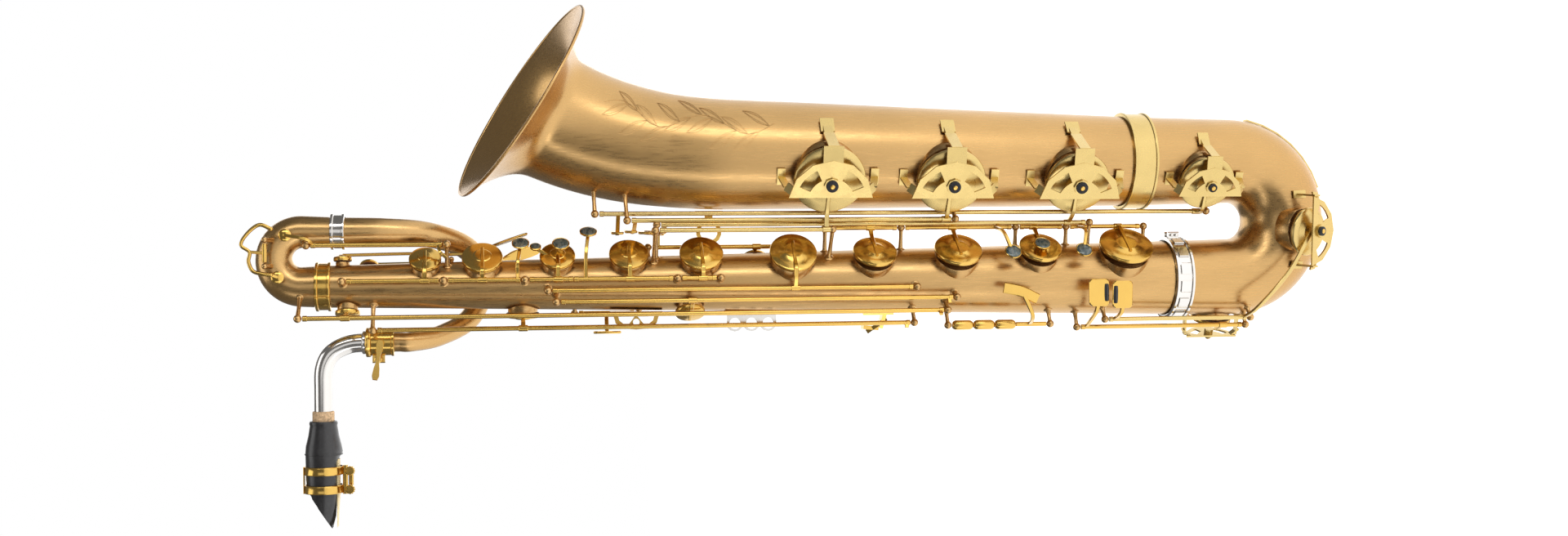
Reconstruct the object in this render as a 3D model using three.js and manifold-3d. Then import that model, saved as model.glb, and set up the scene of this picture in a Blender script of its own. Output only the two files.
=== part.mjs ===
// A low-A baritone saxophone, standing as it hangs from its strap.
// Millimetres. +Z runs up the body tube, +X points forward to the bell, +Y is the player's left.
// Everything is laid out from the body tube's axis; the finished instrument is then moved so that
// its origin is the centre of the middle strap ring.
import * as THREE from 'three';
import { mergeVertices } from 'three/addons/utils/BufferGeometryUtils.js';
import Module from 'manifold-3d';

const wasm = await Module();
wasm.setup();

// ---------------------------------------------------------------- driving dimensions

const GAP = 0.4;                      // air kept between pieces that seat on one another
const TUBE_WALL = 1.4;

const BODY_FOOT_Z = 16;               // joint between body tube and bow
const BODY_TOP_Z = 884;               // joint between body tube and upper bow
const BODY_FOOT_R = 38.6;
const BODY_TOP_R = 20.4;

const BOW_BEND_R = 61;                // centreline of the U-bend
const BOW_BEND_Z = -45;               // where the bend starts
const BOW_MID_R = 43;
const BELL_JOINT_Z = 60;              // joint between bow and bell
const BELL_JOINT_R = 46.3;

const BELL_THROAT_Z = 545;            // where the bell starts to lean forward
const BELL_THROAT_R = 57;
const BELL_THROAT_X = 130;
const BELL_RIM_R = 112;
const BELL_RIM_X = 183.5;
const BELL_RIM_Z = 693;
const BELL_FLARE = 42;                // length of the flare behind the rim
const BELL_BEND_Z = 480;              // height where the bell's axis starts to bend forward
const BELL_BEND_EASE = 78;            // how gently the bend starts and ends
const BELL_STRAIGHT = 485;            // of the bell's axis before it starts to open
const BELL_LEAN = 32;                 // degrees that the bell's mouth leans forward
const BELL_TURN = 11;                 // degrees that it turns to the player's right

const TOP_BEND_R = 26.8;              // centreline of the upper bow
const TOP_BEND_Z = 904;
const PIPE_TOP_Z = 870;               // joint between upper bow and return tube
const PIPE_TOP_R = 14;
const PIPE_END_Z = 822;               // top of the return tube, inside the neck receiver
const RECEIVER_X = -55;
const RECEIVER_HEIGHT = 27;
const RECEIVER_SEAT = 5;              // of the receiver on the return tube
const RECEIVER_WALL = 2.4;
const NECK_SCREW_R = 1.7;
const NECK_FOOT_R = 9.4;
const NECK_TIP_R = 8.2;
const NECK_RISE_Z = 885.5;            // height of the neck's level part
const NECK_TIP_X = -152;
const CORK_R = 10.5;
const CORK_LENGTH = 30;
const MOUTHPIECE_FOOT_X = -131;
const MOUTHPIECE_LENGTH = 105;
const TABLE_DEPTH = 12.4;             // from the mouthpiece's axis down to its flat table
const REED_T = 2.6;
const REED_W = 15;
const LIGATURE_T = 1;

const STRAP_Z = 463;                  // middle strap ring
const STRAP_PITCH = 17;
const STRAP_HOLE_R = 5.8;
const STRAP_RING_W = 2.4;
const STRAP_PLATE_T = 3;

const ROD_R = 2.3;                    // hinge tubes of the keys
const POST_BALL_R = 3.9;
const POST_FOOT_R = 4.6;
const POST_STEM_R = 2.6;

const CHIMNEY_WALL = 1.5;
const CHIMNEY_RISE = 3.2;             // above the tube it stands on
const CUP_OVERHANG = 2.2;             // of the cup past its chimney
const CUP_DEPTH = 4.6;
const CUP_DOME = 2.2;
const PAD_CLOSED_GAP = 0.5;           // left under a pad that is down
const ARM_W = 4;
const ARM_T = 2.6;
const PEARL_R = 8.6;
const PEARL_T = 3.4;
const PLATE_T = 1.8;
const GUARD_R = 42;                    // of a full-size guard's arc
const GUARD_RISE = 14;                // of a guard above the closed cup under it
const BUMPER_DEPTH = 5;               // felt bumper below its guard
const TABLE_X = 49;                   // plane of the left hand's little-finger plates
const TOUCH_LENGTH = 22;              // of a side key's barrel touch
const TOUCH_R = 5;
const PALM_RISE = 7.5;                // of the palm keys' hinges above the body
const PALM_POST_OFFSET = 7;

// Sides of the round pieces.
const TUBE_SIDES = 14;
const SMALL_TUBE_SIDES = 10;
const CUP_SIDES = 9;

// ---------------------------------------------------------------- colours

const lacquer = { color: 0xc9924f, roughness: 0.42, metalness: 1 };
const keyGold = { color: 0xd6a63a, roughness: 0.18, metalness: 1 };
const paleBrass = { color: 0xd9c078, roughness: 0.4, metalness: 1 };
const silver = { color: 0xd6d6d8, roughness: 0.15, metalness: 1 };
const ebonite = { color: 0x17181a, roughness: 0.35, metalness: 0 };
const corkTan = { color: 0xc4935a, roughness: 0.8, metalness: 0 };
const cane = { color: 0xdcc58a, roughness: 0.7, metalness: 0 };

// ---------------------------------------------------------------- solids and placing

const at = (x, y, z) => new THREE.Vector3(x, y, z);
const radians = THREE.MathUtils.degToRad;
const mix = THREE.MathUtils.lerp;

/** Turns a closed geometry into a solid that can be joined and cut. */
function solid(geometry) {
  const bare = geometry.clone();
  bare.deleteAttribute('normal');
  bare.deleteAttribute('uv');
  const merged = mergeVertices(bare, 1e-4);
  const corners = merged.index.array;
  const faces = [];
  for (let index = 0; index < corners.length; index += 3) {
    const [a, b, c] = corners.slice(index, index + 3);
    if (a !== b && b !== c && c !== a) faces.push(a, b, c);
  }
  return new wasm.Manifold(new wasm.Mesh({
    numProp: 3,
    vertProperties: new Float32Array(merged.attributes.position.array),
    triVerts: new Uint32Array(faces),
  }));
}

function join(...solids) {
  return solids.flat().reduce((sum, next) => sum.add(next));
}

/** Copy of a geometry moved so that its +Z is `axis` and its origin is `place`. */
function aimed(geometry, place, axis, across = null) {
  const z = axis.clone().normalize();
  const hint = across ?? (Math.abs(z.z) > 0.9 ? at(1, 0, 0) : at(0, 0, 1));
  const y = new THREE.Vector3().crossVectors(z, hint).normalize();
  const x = new THREE.Vector3().crossVectors(y, z);
  const matrix = new THREE.Matrix4().makeBasis(x, y, z).setPosition(place);
  return geometry.applyMatrix4(matrix);
}

/** Solid of revolution about `axis`; the outline is [radius, height] pairs that start and end on it. */
function turned(outline, sides, place, axis) {
  const points = outline.map(([radius, height]) => new THREE.Vector2(radius, height));
  const geometry = new THREE.LatheGeometry(points, sides);
  geometry.rotateX(Math.PI / 2);
  return solid(aimed(geometry, place, axis));
}

function cone(from, to, radiusFrom, radiusTo, sides = 8) {
  const axis = to.clone().sub(from);
  const outline = [[0, 0], [radiusFrom, 0], [radiusTo, axis.length()], [0, axis.length()]];
  return turned(outline, sides, from, axis);
}

const rod = (from, to, radius = ROD_R, sides = 6) => cone(from, to, radius, radius, sides);

function ball(centre, radius, sides = 6) {
  const geometry = new THREE.SphereGeometry(radius, sides, sides - 2);
  geometry.translate(centre.x, centre.y, centre.z);
  return solid(geometry);
}

/** Flat bar between two points, `width` across and `thick` along `face`. */
function bar(from, to, face, width = ARM_W, thick = ARM_T) {
  const axis = to.clone().sub(from);
  const geometry = new THREE.BoxGeometry(thick, width, axis.length());
  geometry.translate(0, 0, axis.length() / 2);
  return solid(aimed(geometry, from, axis, face));
}

/** Arm of flat bars through a list of points; each bar runs a little past its ends to close the elbows. */
function arm(points, face, width = ARM_W, thick = ARM_T) {
  return join(points.slice(1).map((point, index) => {
    const along = point.clone().sub(points[index]).normalize();
    const isLast = index === points.length - 2;
    const from = index ? points[index].clone().addScaledVector(along, -thick / 2) : points[index];
    return bar(from, isLast ? point : point.clone().addScaledVector(along, thick / 2), face, width, thick);
  }));
}

/** Flat plate cut from a THREE.Shape at `place`, with its face along `face` and its +x along `along`. */
function plate(shape, thick, place, face, along) {
  const geometry = new THREE.ExtrudeGeometry(shape, { depth: thick, bevelEnabled: false, curveSegments: 3 });
  geometry.translate(0, 0, -thick / 2);
  return solid(aimed(geometry, place, face, along));
}

/** Round hole for a THREE.Shape. */
function roundHole(x, y, radius, sides = 14) {
  const corners = Array.from({ length: sides }, (_, index) => (2 * Math.PI * index) / sides);
  return new THREE.Path(corners.map((turn) => new THREE.Vector2(
    x + radius * Math.cos(turn), y + radius * Math.sin(turn),
  )));
}

/** Round sections along a curve; `pace` says how they crowd together. */
function stationsAlong(curve, steps, radiusAt, pace = (share) => share) {
  return Array.from({ length: steps + 1 }, (_, index) => {
    const share = pace(index / steps);
    return { centre: curve.getPointAt(share), along: curve.getTangentAt(share), radius: radiusAt(share) };
  });
}

/** Closed solid through round stations: a cylinder with a ring at each, bent along them. */
function sweep(stations, sides) {
  const steps = stations.length - 1;
  const geometry = new THREE.CylinderGeometry(1, 1, steps, sides, steps);
  const position = geometry.attributes.position;
  for (let index = 0; index < position.count; index += 1) {
    const { centre, along, radius } = stations[Math.round(position.getY(index) + steps / 2)];
    const side = at(0, 1, 0).addScaledVector(along, -along.y).normalize();
    const other = side.clone().cross(along);
    const corner = centre.clone().addScaledVector(side, radius * position.getX(index));
    corner.addScaledVector(other, radius * position.getZ(index));
    position.setXYZ(index, corner.x, corner.y, corner.z);
  }
  return solid(geometry);
}

/** Outside and bore of a tube through stations; the bore runs out of both ends. */
function pipe(stations, sides) {
  const inner = stations.map(({ centre, along, radius }, index) => {
    const past = index === 0 ? -1.5 : Number(index === stations.length - 1) * 1.5;
    return { centre: centre.clone().addScaledVector(along, past), along, radius: radius - TUBE_WALL };
  });
  return { outer: sweep(stations, sides), bore: sweep(inner, sides) };
}

// ---------------------------------------------------------------- the tubes' own measures

const bodyRadius = (z) => mix(BODY_FOOT_R, BODY_TOP_R, (z - BODY_FOOT_Z) / (BODY_TOP_Z - BODY_FOOT_Z));
const bellFoot = at(2 * BOW_BEND_R, 0, BELL_JOINT_Z);
const bellThroat = at(BELL_THROAT_X, 0, BELL_THROAT_Z);
const bellRim = at(BELL_RIM_X, 0, BELL_RIM_Z);
const bellAlong = (z) => (z - BELL_JOINT_Z) / (BELL_THROAT_Z - BELL_JOINT_Z);
const bellRadius = (z) => mix(BELL_JOINT_R, BELL_THROAT_R, bellAlong(z));
const bellAxis = (z) => at(mix(bellFoot.x, bellThroat.x, Math.min(1, bellAlong(z))), 0, z);
const bodyAxis = (z) => at(0, 0, z);

/** Direction around a tube: 0 is forward, 90 is the player's right, 180 is behind. */
const around = (degrees) => at(Math.cos(radians(degrees)), -Math.sin(radians(degrees)), 0);

/** Post: tapered stem soldered to a tube, with a ball head on a hinge line. */
function post(head, foot) {
  const inward = foot.clone().sub(head).normalize().multiplyScalar(2);
  return join(cone(foot.clone().add(inward), head, POST_FOOT_R, POST_STEM_R, 5), ball(head, POST_BALL_R, 5));
}

/** Post whose foot stands on the nearest side of a tube with a given axis point and radius. */
function standing(head, axisPoint, radius) {
  const out = head.clone().sub(axisPoint).normalize();
  return post(head, axisPoint.clone().addScaledVector(out, radius));
}

// ---------------------------------------------------------------- hinge lines and tone holes

// Hinge lines run up the instrument; each is a point across it, the posts' heights and what they stand on.
const lines = {
  upperStack: { x: 5, y: -37, posts: [864, 768, 690, 541, 498] },
  lowerStack: { x: 54, y: -9, posts: [388, 309, 188, 134, 50] },
  gKey: { x: -6, y: -41, posts: [668, 300] },
  sideLow: { x: -17, y: -41, posts: [660, 259] },
  sideMid: { x: -30, y: -38.5, posts: [905, 268] },
  sideHigh: { x: -42.5, y: -26.5, posts: [836, 300] },
  touches: { x: -46, y: -22, posts: [264, 156] },
  lowC: { x: -42, y: -30, posts: [100, -58] },
  lowEflat: { x: -50, y: -17, posts: [126, -58] },
  gSharp: { x: 36, y: 14, posts: [566, 430] },
  lowAThumb: { x: -30, y: 26, posts: [640, 575] },
  octave: { x: 40, y: -26, posts: [898, 765] },
  lowA: { x: 52, y: -41, posts: [563, 386] },
  lowBflat: { x: 62, y: -33, posts: [590, 258] },
  lowB: { x: 58, y: -22, posts: [560, 113] },
  lowCsharp: { x: 69, y: -21, posts: [621, -14] },
};
const bellLines = ['lowBflat', 'lowCsharp'];
const onLine = (name, z) => at(lines[name].x, lines[name].y, z);

// Tone holes along the body: height, direction round the tube and cup radius.
const stackHoles = {
  high: { z: 786, turn: 36, cup: 15.6 },
  c: { z: 731, turn: 36, cup: 20 },
  b: { z: 658, turn: 36, cup: 17.6 },
  bis: { z: 588, turn: 36, cup: 19.7 },
  a: { z: 516, turn: 38, cup: 22 },
  g: { z: 424, turn: 42, cup: 24 },
  fsharp: { z: 341, turn: 46, cup: 22.5 },
  f: { z: 255, turn: 46, cup: 24.6 },
  e: { z: 169, turn: 46, cup: 22 },
  d: { z: 78, turn: 46, cup: 28 },
};
const backHoles = {
  sideC: { z: 527, turn: 150, cup: 15 },
  sideBflat: { z: 692, turn: 185, cup: 17 },
  highE: { z: 861, turn: 165, cup: 12 },
  gSharp: { z: 455, turn: -60, cup: 17 },
};
const palmHoles = {
  one: { z: 866, turn: -6, cup: 9 },
  two: { z: 842, turn: -48, cup: 10 },
  three: { z: 815, turn: -88, cup: 11 },
};
const BELL_HOLE_TURN = 115;           // the bell's tone holes face the player's right and a little back
const bellHoles = {
  lowA: { z: 392, cup: 36 },
  lowBflat: { z: 268, cup: 35 },
  lowB: { z: 136, cup: 33 },
};
// How far, in degrees, the keys that stand open are swung from their closed place.
const STACK_OPENING = 8;
const BELL_OPENING = 6;
const LOW_C_OPENING = 4.5;

const holeOnBody = (hole) => ({
  base: bodyAxis(hole.z), out: around(hole.turn), tube: bodyRadius(hole.z), cup: hole.cup,
});
const holeOnBell = (hole) => ({
  base: bellAxis(hole.z), out: around(BELL_HOLE_TURN), tube: bellRadius(hole.z), cup: hole.cup,
});
const bendCentre = at(BOW_BEND_R, 0, BOW_BEND_Z);
// The low C-sharp hole is on the bow's front leg, low C on the outside of the bend, low E-flat behind.
const cSharpHole = { base: at(2 * BOW_BEND_R, 0, -3), out: around(BELL_HOLE_TURN), tube: 45.5, cup: 29 };
const lowCHole = {
  base: at(0.86 * BOW_BEND_R, 0, BOW_BEND_Z - 0.66 * BOW_BEND_R), out: at(-0.08, -0.89, -0.45).normalize(),
  tube: 49, cup: 25,
};
const eFlatHole = { base: at(0, 0, -33), out: around(200), tube: BODY_FOOT_R + 1, cup: 21 };

const chimneyTop = (hole) => hole.tube + CHIMNEY_RISE;
const pointOn = (hole, distance) => hole.base.clone().addScaledVector(hole.out, distance);

function chimneyOuter(hole) {
  const radius = hole.cup - CUP_OVERHANG;
  return rod(pointOn(hole, hole.tube * 0.55), pointOn(hole, chimneyTop(hole)), radius, CUP_SIDES);
}

function chimneyBore(hole) {
  const radius = hole.cup - CUP_OVERHANG - CHIMNEY_WALL;
  return rod(pointOn(hole, hole.tube * 0.3), pointOn(hole, chimneyTop(hole) + 5), radius, CUP_SIDES);
}

/** A tube with its chimneys and posts, bored out last so that the air column is clear. */
function boredTube(outer, bore, holes, fittings) {
  const body = join(outer, holes.map(chimneyOuter), fittings);
  return body.subtract(join(bore, holes.map(chimneyBore)));
}

// ---------------------------------------------------------------- tubes

function bodyTube() {
  const outline = (inset, over) => [
    [0, BODY_FOOT_Z + GAP - over], [BODY_FOOT_R - inset, BODY_FOOT_Z + GAP - over],
    [BODY_TOP_R - inset, BODY_TOP_Z - GAP + over], [0, BODY_TOP_Z - GAP + over],
  ];
  const up = at(0, 0, 1);
  const outer = turned(outline(0, 0), TUBE_SIDES, at(0, 0, 0), up);
  const bore = turned(outline(TUBE_WALL, 1), TUBE_SIDES, at(0, 0, 0), up);
  const bodyLines = Object.entries(lines).filter(([name]) => !bellLines.includes(name));
  const posts = bodyLines.flatMap(([name, line]) => (
    line.posts.filter((z) => z > BODY_FOOT_Z + 12 && z < BODY_TOP_Z - 8).map((z) => (
      standing(onLine(name, z), bodyAxis(z), bodyRadius(z) - 0.4)
    ))
  ));
  const holes = [stackHoles, backHoles, palmHoles].flatMap((set) => Object.values(set)).map(holeOnBody);
  return boredTube(outer, bore, holes, [...posts, ...palmPosts(), strapBase()]);
}

/** Path of the bow: down the body leg, round the bend and up to the bell. */
function bowPath() {
  const bend = (degrees) => bendCentre.clone().add(
    at(-BOW_BEND_R * Math.cos(radians(degrees)), 0, -BOW_BEND_R * Math.sin(radians(degrees))),
  );
  const points = [at(0, 0, BODY_FOOT_Z - GAP), at(0, 0, (BODY_FOOT_Z + BOW_BEND_Z) / 2)];
  for (let degrees = 0; degrees <= 180; degrees += 22.5) points.push(bend(degrees));
  points.push(at(2 * BOW_BEND_R, 0, (BELL_JOINT_Z + BOW_BEND_Z) / 2));
  points.push(at(2 * BOW_BEND_R, 0, BELL_JOINT_Z - GAP));
  return new THREE.CatmullRomCurve3(points);
}

function bow() {
  const stations = stationsAlong(bowPath(), 14, (share) => mix(BODY_FOOT_R, BELL_JOINT_R, share));
  const { outer, bore } = pipe(stations, TUBE_SIDES);
  const posts = [
    standing(onLine('lowC', lines.lowC.posts[1]), bodyAxis(lines.lowC.posts[1]), BODY_FOOT_R),
    standing(onLine('lowEflat', lines.lowEflat.posts[1]), bodyAxis(lines.lowEflat.posts[1]), BODY_FOOT_R),
    standing(onLine('lowCsharp', lines.lowCsharp.posts[1]), at(2 * BOW_BEND_R, 0, lines.lowCsharp.posts[1]),
      BELL_JOINT_R - 1),
  ];
  return boredTube(outer, bore, [cSharpHole, lowCHole, eFlatHole], posts);
}

/** Axis of the bell: straight up from the bow, then bent forward to the rim. */
function bellCurve() {
  const lean = at(Math.sin(radians(BELL_LEAN)), -Math.sin(radians(BELL_TURN)), Math.cos(radians(BELL_LEAN)));
  const foot = at(2 * BOW_BEND_R, 0, BELL_JOINT_Z + GAP);
  const bendStart = bellAxis(BELL_BEND_Z);
  const up = bendStart.clone().sub(foot).normalize();
  const path = new THREE.CurvePath();
  path.add(new THREE.LineCurve3(foot, bendStart));
  path.add(new THREE.CubicBezierCurve3(
    bendStart,
    bendStart.clone().addScaledVector(up, BELL_BEND_EASE),
    bellRim.clone().addScaledVector(lean.normalize(), -BELL_BEND_EASE),
    bellRim,
  ));
  return path;
}

const bellCentreline = bellCurve();

/** Radius of the bell at a share of its axis: a slow cone, then the flare. */
function bellRadiusAt(share) {
  const length = bellCentreline.getLength();
  const left = (1 - share) * length;
  const z = bellCentreline.getPointAt(share).z;
  const stem = bellRadius(Math.min(z, BELL_THROAT_Z)) + Math.max(0, (length * share - BELL_STRAIGHT) * 0.05);
  const flare = left < BELL_FLARE ? ((BELL_FLARE - left) / BELL_FLARE) ** 2.2 * (BELL_RIM_R - stem) : 0;
  return stem + flare;
}

function bellTube() {
  const crowding = (share) => 1 - (1 - share) ** 2;
  const { outer, bore } = pipe(stationsAlong(bellCentreline, 16, bellRadiusAt, crowding), TUBE_SIDES);
  const shares = Array.from({ length: 201 }, (_, index) => index / 200);
  const onStem = (z) => z > BELL_JOINT_Z + 12;
  const posts = bellLines.flatMap((name) => lines[name].posts.filter(onStem).map((z) => {
    const share = shares.find((value) => bellCentreline.getPointAt(value).z >= z);
    return standing(onLine(name, z), bellCentreline.getPointAt(share), bellRadiusAt(share) - 1.2);
  }));
  return boredTube(outer, bore, Object.values(bellHoles).map(holeOnBell), posts);
}

/** Collar turned round a tube, clear of its corners by GAP, with a raised bead at each edge. */
function collar(axisPoint, tubeRadius, height, thick) {
  const low = axisPoint.z - height / 2;
  const high = axisPoint.z + height / 2;
  const inner = (tubeRadius + GAP) / Math.cos(Math.PI / TUBE_SIDES);
  const outer = inner + thick;
  const bead = 1.3;
  const outline = [
    [inner, low], [outer + bead, low], [outer, low + 3.5], [outer, high - 3.5], [outer + bead, high],
    [inner, high], [inner, low],
  ];
  return turned(outline, TUBE_SIDES, at(axisPoint.x, 0, 0), at(0, 0, 1));
}

function bellBowBand() {
  return collar(bellFoot, bellRadius(BELL_JOINT_Z + 13), 26, 1.6);
}

function bodyBowClamp() {
  const ring = collar(at(0, 0, BODY_FOOT_Z), BODY_FOOT_R, 20, 2);
  const lug = bar(at(BODY_FOOT_R + 1.5, 0, BODY_FOOT_Z - 4.5), at(BODY_FOOT_R + 1.5, 0, BODY_FOOT_Z + 4.5),
    at(1, 0, 0), 16, 0.1);
  const ears = bar(at(BODY_FOOT_R + 5.4, 0, BODY_FOOT_Z - 5), at(BODY_FOOT_R + 5.4, 0, BODY_FOOT_Z + 5),
    at(0, 1, 0), 8, 14);
  const screws = [-2.5, 2.5].map((side) => rod(
    at(BODY_FOOT_R + 6, -9.5, BODY_FOOT_Z + side), at(BODY_FOOT_R + 6, 9.5, BODY_FOOT_Z + side), 1.7,
  ));
  return join(ring, lug, ears, screws);
}

function upperBow() {
  const bend = (degrees) => at(TOP_BEND_R * (1 - Math.cos(radians(degrees))), 0,
    TOP_BEND_Z + TOP_BEND_R * Math.sin(radians(degrees)));
  const points = [at(0, 0, BODY_TOP_Z)];
  for (let degrees = 0; degrees <= 180; degrees += 30) points.push(bend(degrees));
  points.push(at(2 * TOP_BEND_R, 0, PIPE_TOP_Z + GAP));
  const curve = new THREE.CatmullRomCurve3(points);
  const stations = stationsAlong(curve, 8, (share) => mix(BODY_TOP_R, PIPE_TOP_R, share));
  const { outer, bore } = pipe(stations, TUBE_SIDES);
  const topZ = lines.octave.posts[0];
  const octavePost = standing(onLine('octave', topZ), at(46, -4, topZ + 4), 10);
  const sidePost = standing(onLine('sideMid', 905), at(2, 0, 905), BODY_TOP_R - 1);
  const pips = octavePips().map(({ foot, tip }) => cone(foot, tip, 4, 3, 10));
  const pipBores = octavePips().map(({ foot, tip, out }) => rod(foot.clone().addScaledVector(out, -4),
    tip.clone().addScaledVector(out, 2), 1.2, 6));
  return join(outer, octavePost, sidePost, ...lyrePosts(), ...pips).subtract(join(bore, ...pipBores));
}

/** The two small octave vents on the upper bow. */
function octavePips() {
  return [[150, 20], [50, 21]].map(([degrees, rise]) => {
    const centre = at(TOP_BEND_R * (1 - Math.cos(radians(degrees))), 0,
      TOP_BEND_Z + TOP_BEND_R * Math.sin(radians(degrees)));
    const out = at(0, -1, 0);
    const foot = centre.clone().addScaledVector(out, rise - 6);
    return { foot, tip: centre.clone().addScaledVector(out, rise + 3), out };
  });
}

function topFerrule() {
  return collar(at(0, 0, BODY_TOP_Z), bodyRadius(BODY_TOP_Z - 8), 15, 1.4);
}

function pipeRing() {
  return collar(at(2 * TOP_BEND_R, 0, PIPE_TOP_Z), PIPE_TOP_R + 0.4, 14, 1.2);
}

function returnPipe() {
  const curve = new THREE.CatmullRomCurve3([
    at(2 * TOP_BEND_R, 0, PIPE_TOP_Z - GAP), at(2 * TOP_BEND_R, 2, 826), at(50, 14, 782), at(35, 38, 745),
    at(2, 50, 731), at(-33, 40, 744), at(-50, 16, 774), at(RECEIVER_X, 1, 801), at(RECEIVER_X, 0, 812),
    at(RECEIVER_X, 0, PIPE_END_Z),
  ]);
  const radiusAt = (share) => mix(PIPE_TOP_R, NECK_FOOT_R, share ** 0.8);
  const { outer, bore } = pipe(stationsAlong(curve, 14, radiusAt), SMALL_TUBE_SIDES);
  return outer.subtract(bore);
}

const receiverInner = () => (NECK_FOOT_R + GAP) / Math.cos(Math.PI / SMALL_TUBE_SIDES) + 0.2;

const neckScrewAxis = () => at(RECEIVER_X - receiverInner() - RECEIVER_WALL - 3.5, 0,
  PIPE_END_Z - RECEIVER_SEAT + RECEIVER_HEIGHT - 12);

/** Split socket that clamps the neck, with two lugs for its screw. */
function neckReceiver() {
  const inner = receiverInner();
  const outer = inner + RECEIVER_WALL;
  const low = PIPE_END_Z - RECEIVER_SEAT;
  const high = low + RECEIVER_HEIGHT;
  const sleeve = turned([
    [inner, low], [outer, low], [outer, high - 5], [outer + 1.6, high - 4], [outer + 1.6, high], [inner, high],
    [inner, low],
  ], SMALL_TUBE_SIDES, at(RECEIVER_X, 0, 0), at(0, 0, 1));
  const screw = neckScrewAxis();
  const lugX = RECEIVER_X - outer - 3;
  const lug = bar(at(lugX, 0, screw.z - 6), at(lugX, 0, screw.z + 6), at(0, 1, 0), 8, 11);
  const split = bar(at(lugX + 1, 0, low + 9), at(lugX + 1, 0, high + 2), at(0, 1, 0), 14, 2);
  const hole = rod(screw.clone().add(at(0, -9, 0)), screw.clone().add(at(0, 9, 0)), NECK_SCREW_R + 0.3, 10);
  return join(sleeve, lug).subtract(join(split, hole));
}

function neckScrew() {
  const centre = neckScrewAxis();
  const shank = rod(centre.clone().add(at(0, 8, 0)), centre.clone().add(at(0, -17, 0)), NECK_SCREW_R, 10);
  const collarPiece = rod(centre.clone().add(at(0, -8, 0)), centre.clone().add(at(0, -16, 0)), 3.6, 12);
  const tip = (side) => centre.clone().add(at(20 * side, -17.5, -3 * side));
  const wing = bar(tip(1), tip(-1), at(0, 1, 0), 7, 2.4);
  return join(shank, collarPiece, wing);
}

const neckEnd = () => at(NECK_TIP_X, 0, NECK_RISE_Z);

function neck() {
  const curve = new THREE.CatmullRomCurve3([
    at(RECEIVER_X, 0, PIPE_END_Z + 3), at(RECEIVER_X, 0, 846), at(RECEIVER_X - 2, 0, 862),
    at(RECEIVER_X - 10, 0, 877), at(RECEIVER_X - 25, 0, NECK_RISE_Z - 1), at(-104, 0, NECK_RISE_Z), neckEnd(),
  ]);
  const stations = stationsAlong(curve, 10, (share) => mix(NECK_FOOT_R, NECK_TIP_R, share));
  const { outer, bore } = pipe(stations, SMALL_TUBE_SIDES);
  const rimLow = PIPE_END_Z - RECEIVER_SEAT + RECEIVER_HEIGHT + GAP;
  const rim = turned([
    [NECK_FOOT_R - 0.8, rimLow], [NECK_FOOT_R + 2, rimLow], [NECK_FOOT_R + 2, rimLow + 3],
    [NECK_FOOT_R - 0.8, rimLow + 4], [NECK_FOOT_R - 0.8, rimLow],
  ], SMALL_TUBE_SIDES, at(RECEIVER_X, 0, 0), at(0, 0, 1));
  return join(outer, rim).subtract(bore);
}

function neckCork() {
  const inner = NECK_TIP_R + 1.2;
  const start = MOUTHPIECE_FOOT_X + 9.5;
  return turned([
    [inner, 0], [CORK_R - 0.4, 0], [CORK_R, 1], [CORK_R, CORK_LENGTH - 1], [inner, CORK_LENGTH], [inner, 0],
  ], 16, at(start, 0, NECK_RISE_Z), at(-1, 0, 0));
}

function mouthpiece() {
  const foot = at(MOUTHPIECE_FOOT_X, 0, NECK_RISE_Z);
  const away = at(-1, 0, 0);
  const length = MOUTHPIECE_LENGTH;
  const blank = turned([
    [0, 0], [12.6, 0], [13.4, 1.5], [13.4, 6], [13.8, 14], [15.5, 22], [18, 28], [18.2, 32], [17.2, 36],
    [16.9, 44], [16.4, 66], [15.5, 86], [14.5, length], [0, length],
  ], 18, foot, away);
  const table = bar(foot.clone().add(at(-33, 0, -TABLE_DEPTH - 10)), foot.clone().add(at(-length - 2, 0,
    -TABLE_DEPTH - 9)), at(0, 0, 1), 50, 20);
  const beakTop = foot.clone().add(at(-66, 0, 17));
  const tip = foot.clone().add(at(-length, 0, -TABLE_DEPTH + 2.4));
  const beakFace = new THREE.Vector3().crossVectors(tip.clone().sub(beakTop), at(0, -1, 0)).normalize();
  const lift = beakFace.z > 0 ? 15 : -15;
  const beak = bar(beakTop.clone().addScaledVector(beakFace, lift).sub(at(-6, 0, 0)),
    tip.clone().addScaledVector(beakFace, lift).add(at(-8, 0, -5)), beakFace, 60, 30);
  const bore = rod(foot.clone().add(at(3, 0, 0)), foot.clone().add(at(-48, 0, 0)), CORK_R + GAP, 16);
  const window = bar(foot.clone().add(at(-46, 0, -8)), foot.clone().add(at(-88, 0, -10)), at(0, 0, 1), 13, 14);
  return blank.subtract(join(table, beak)).subtract(join(bore, window));
}

function reed() {
  const shape = new THREE.Shape([
    new THREE.Vector2(0, 0), new THREE.Vector2(66, 0), new THREE.Vector2(66, -0.5),
    new THREE.Vector2(36, -REED_T),
    new THREE.Vector2(0, -REED_T),
  ]);
  return plate(shape, REED_W, at(MOUTHPIECE_FOOT_X - 37, 0, NECK_RISE_Z - TABLE_DEPTH - GAP), at(0, 1, 0),
    at(-1, 0, 0));
}

/** Two bands round mouthpiece and reed, tied by a plate on top and by two screw barrels under the reed. */
function ligature() {
  const centre = at(MOUTHPIECE_FOOT_X, 0, NECK_RISE_Z);
  const inner = 17.3 + GAP;
  const outer = inner + LIGATURE_T;
  const bands = [44, 62].map((along) => turned([
    [inner, along], [outer, along], [outer, along + 8], [inner, along + 8], [inner, along],
  ], 18, centre, at(-1, 0, 0)));
  const plates = [
    bar(centre.clone().add(at(-45, 0, outer)), centre.clone().add(at(-69, 0, outer)), at(0, 0, 1), 12, 1),
    bar(centre.clone().add(at(-43, -2, -outer - 1.8)), centre.clone().add(at(-71, -2, -outer - 1.8)),
      at(0, 0, 1), 7, 4.6),
  ];
  return join(...bands, ...plates);
}

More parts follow.
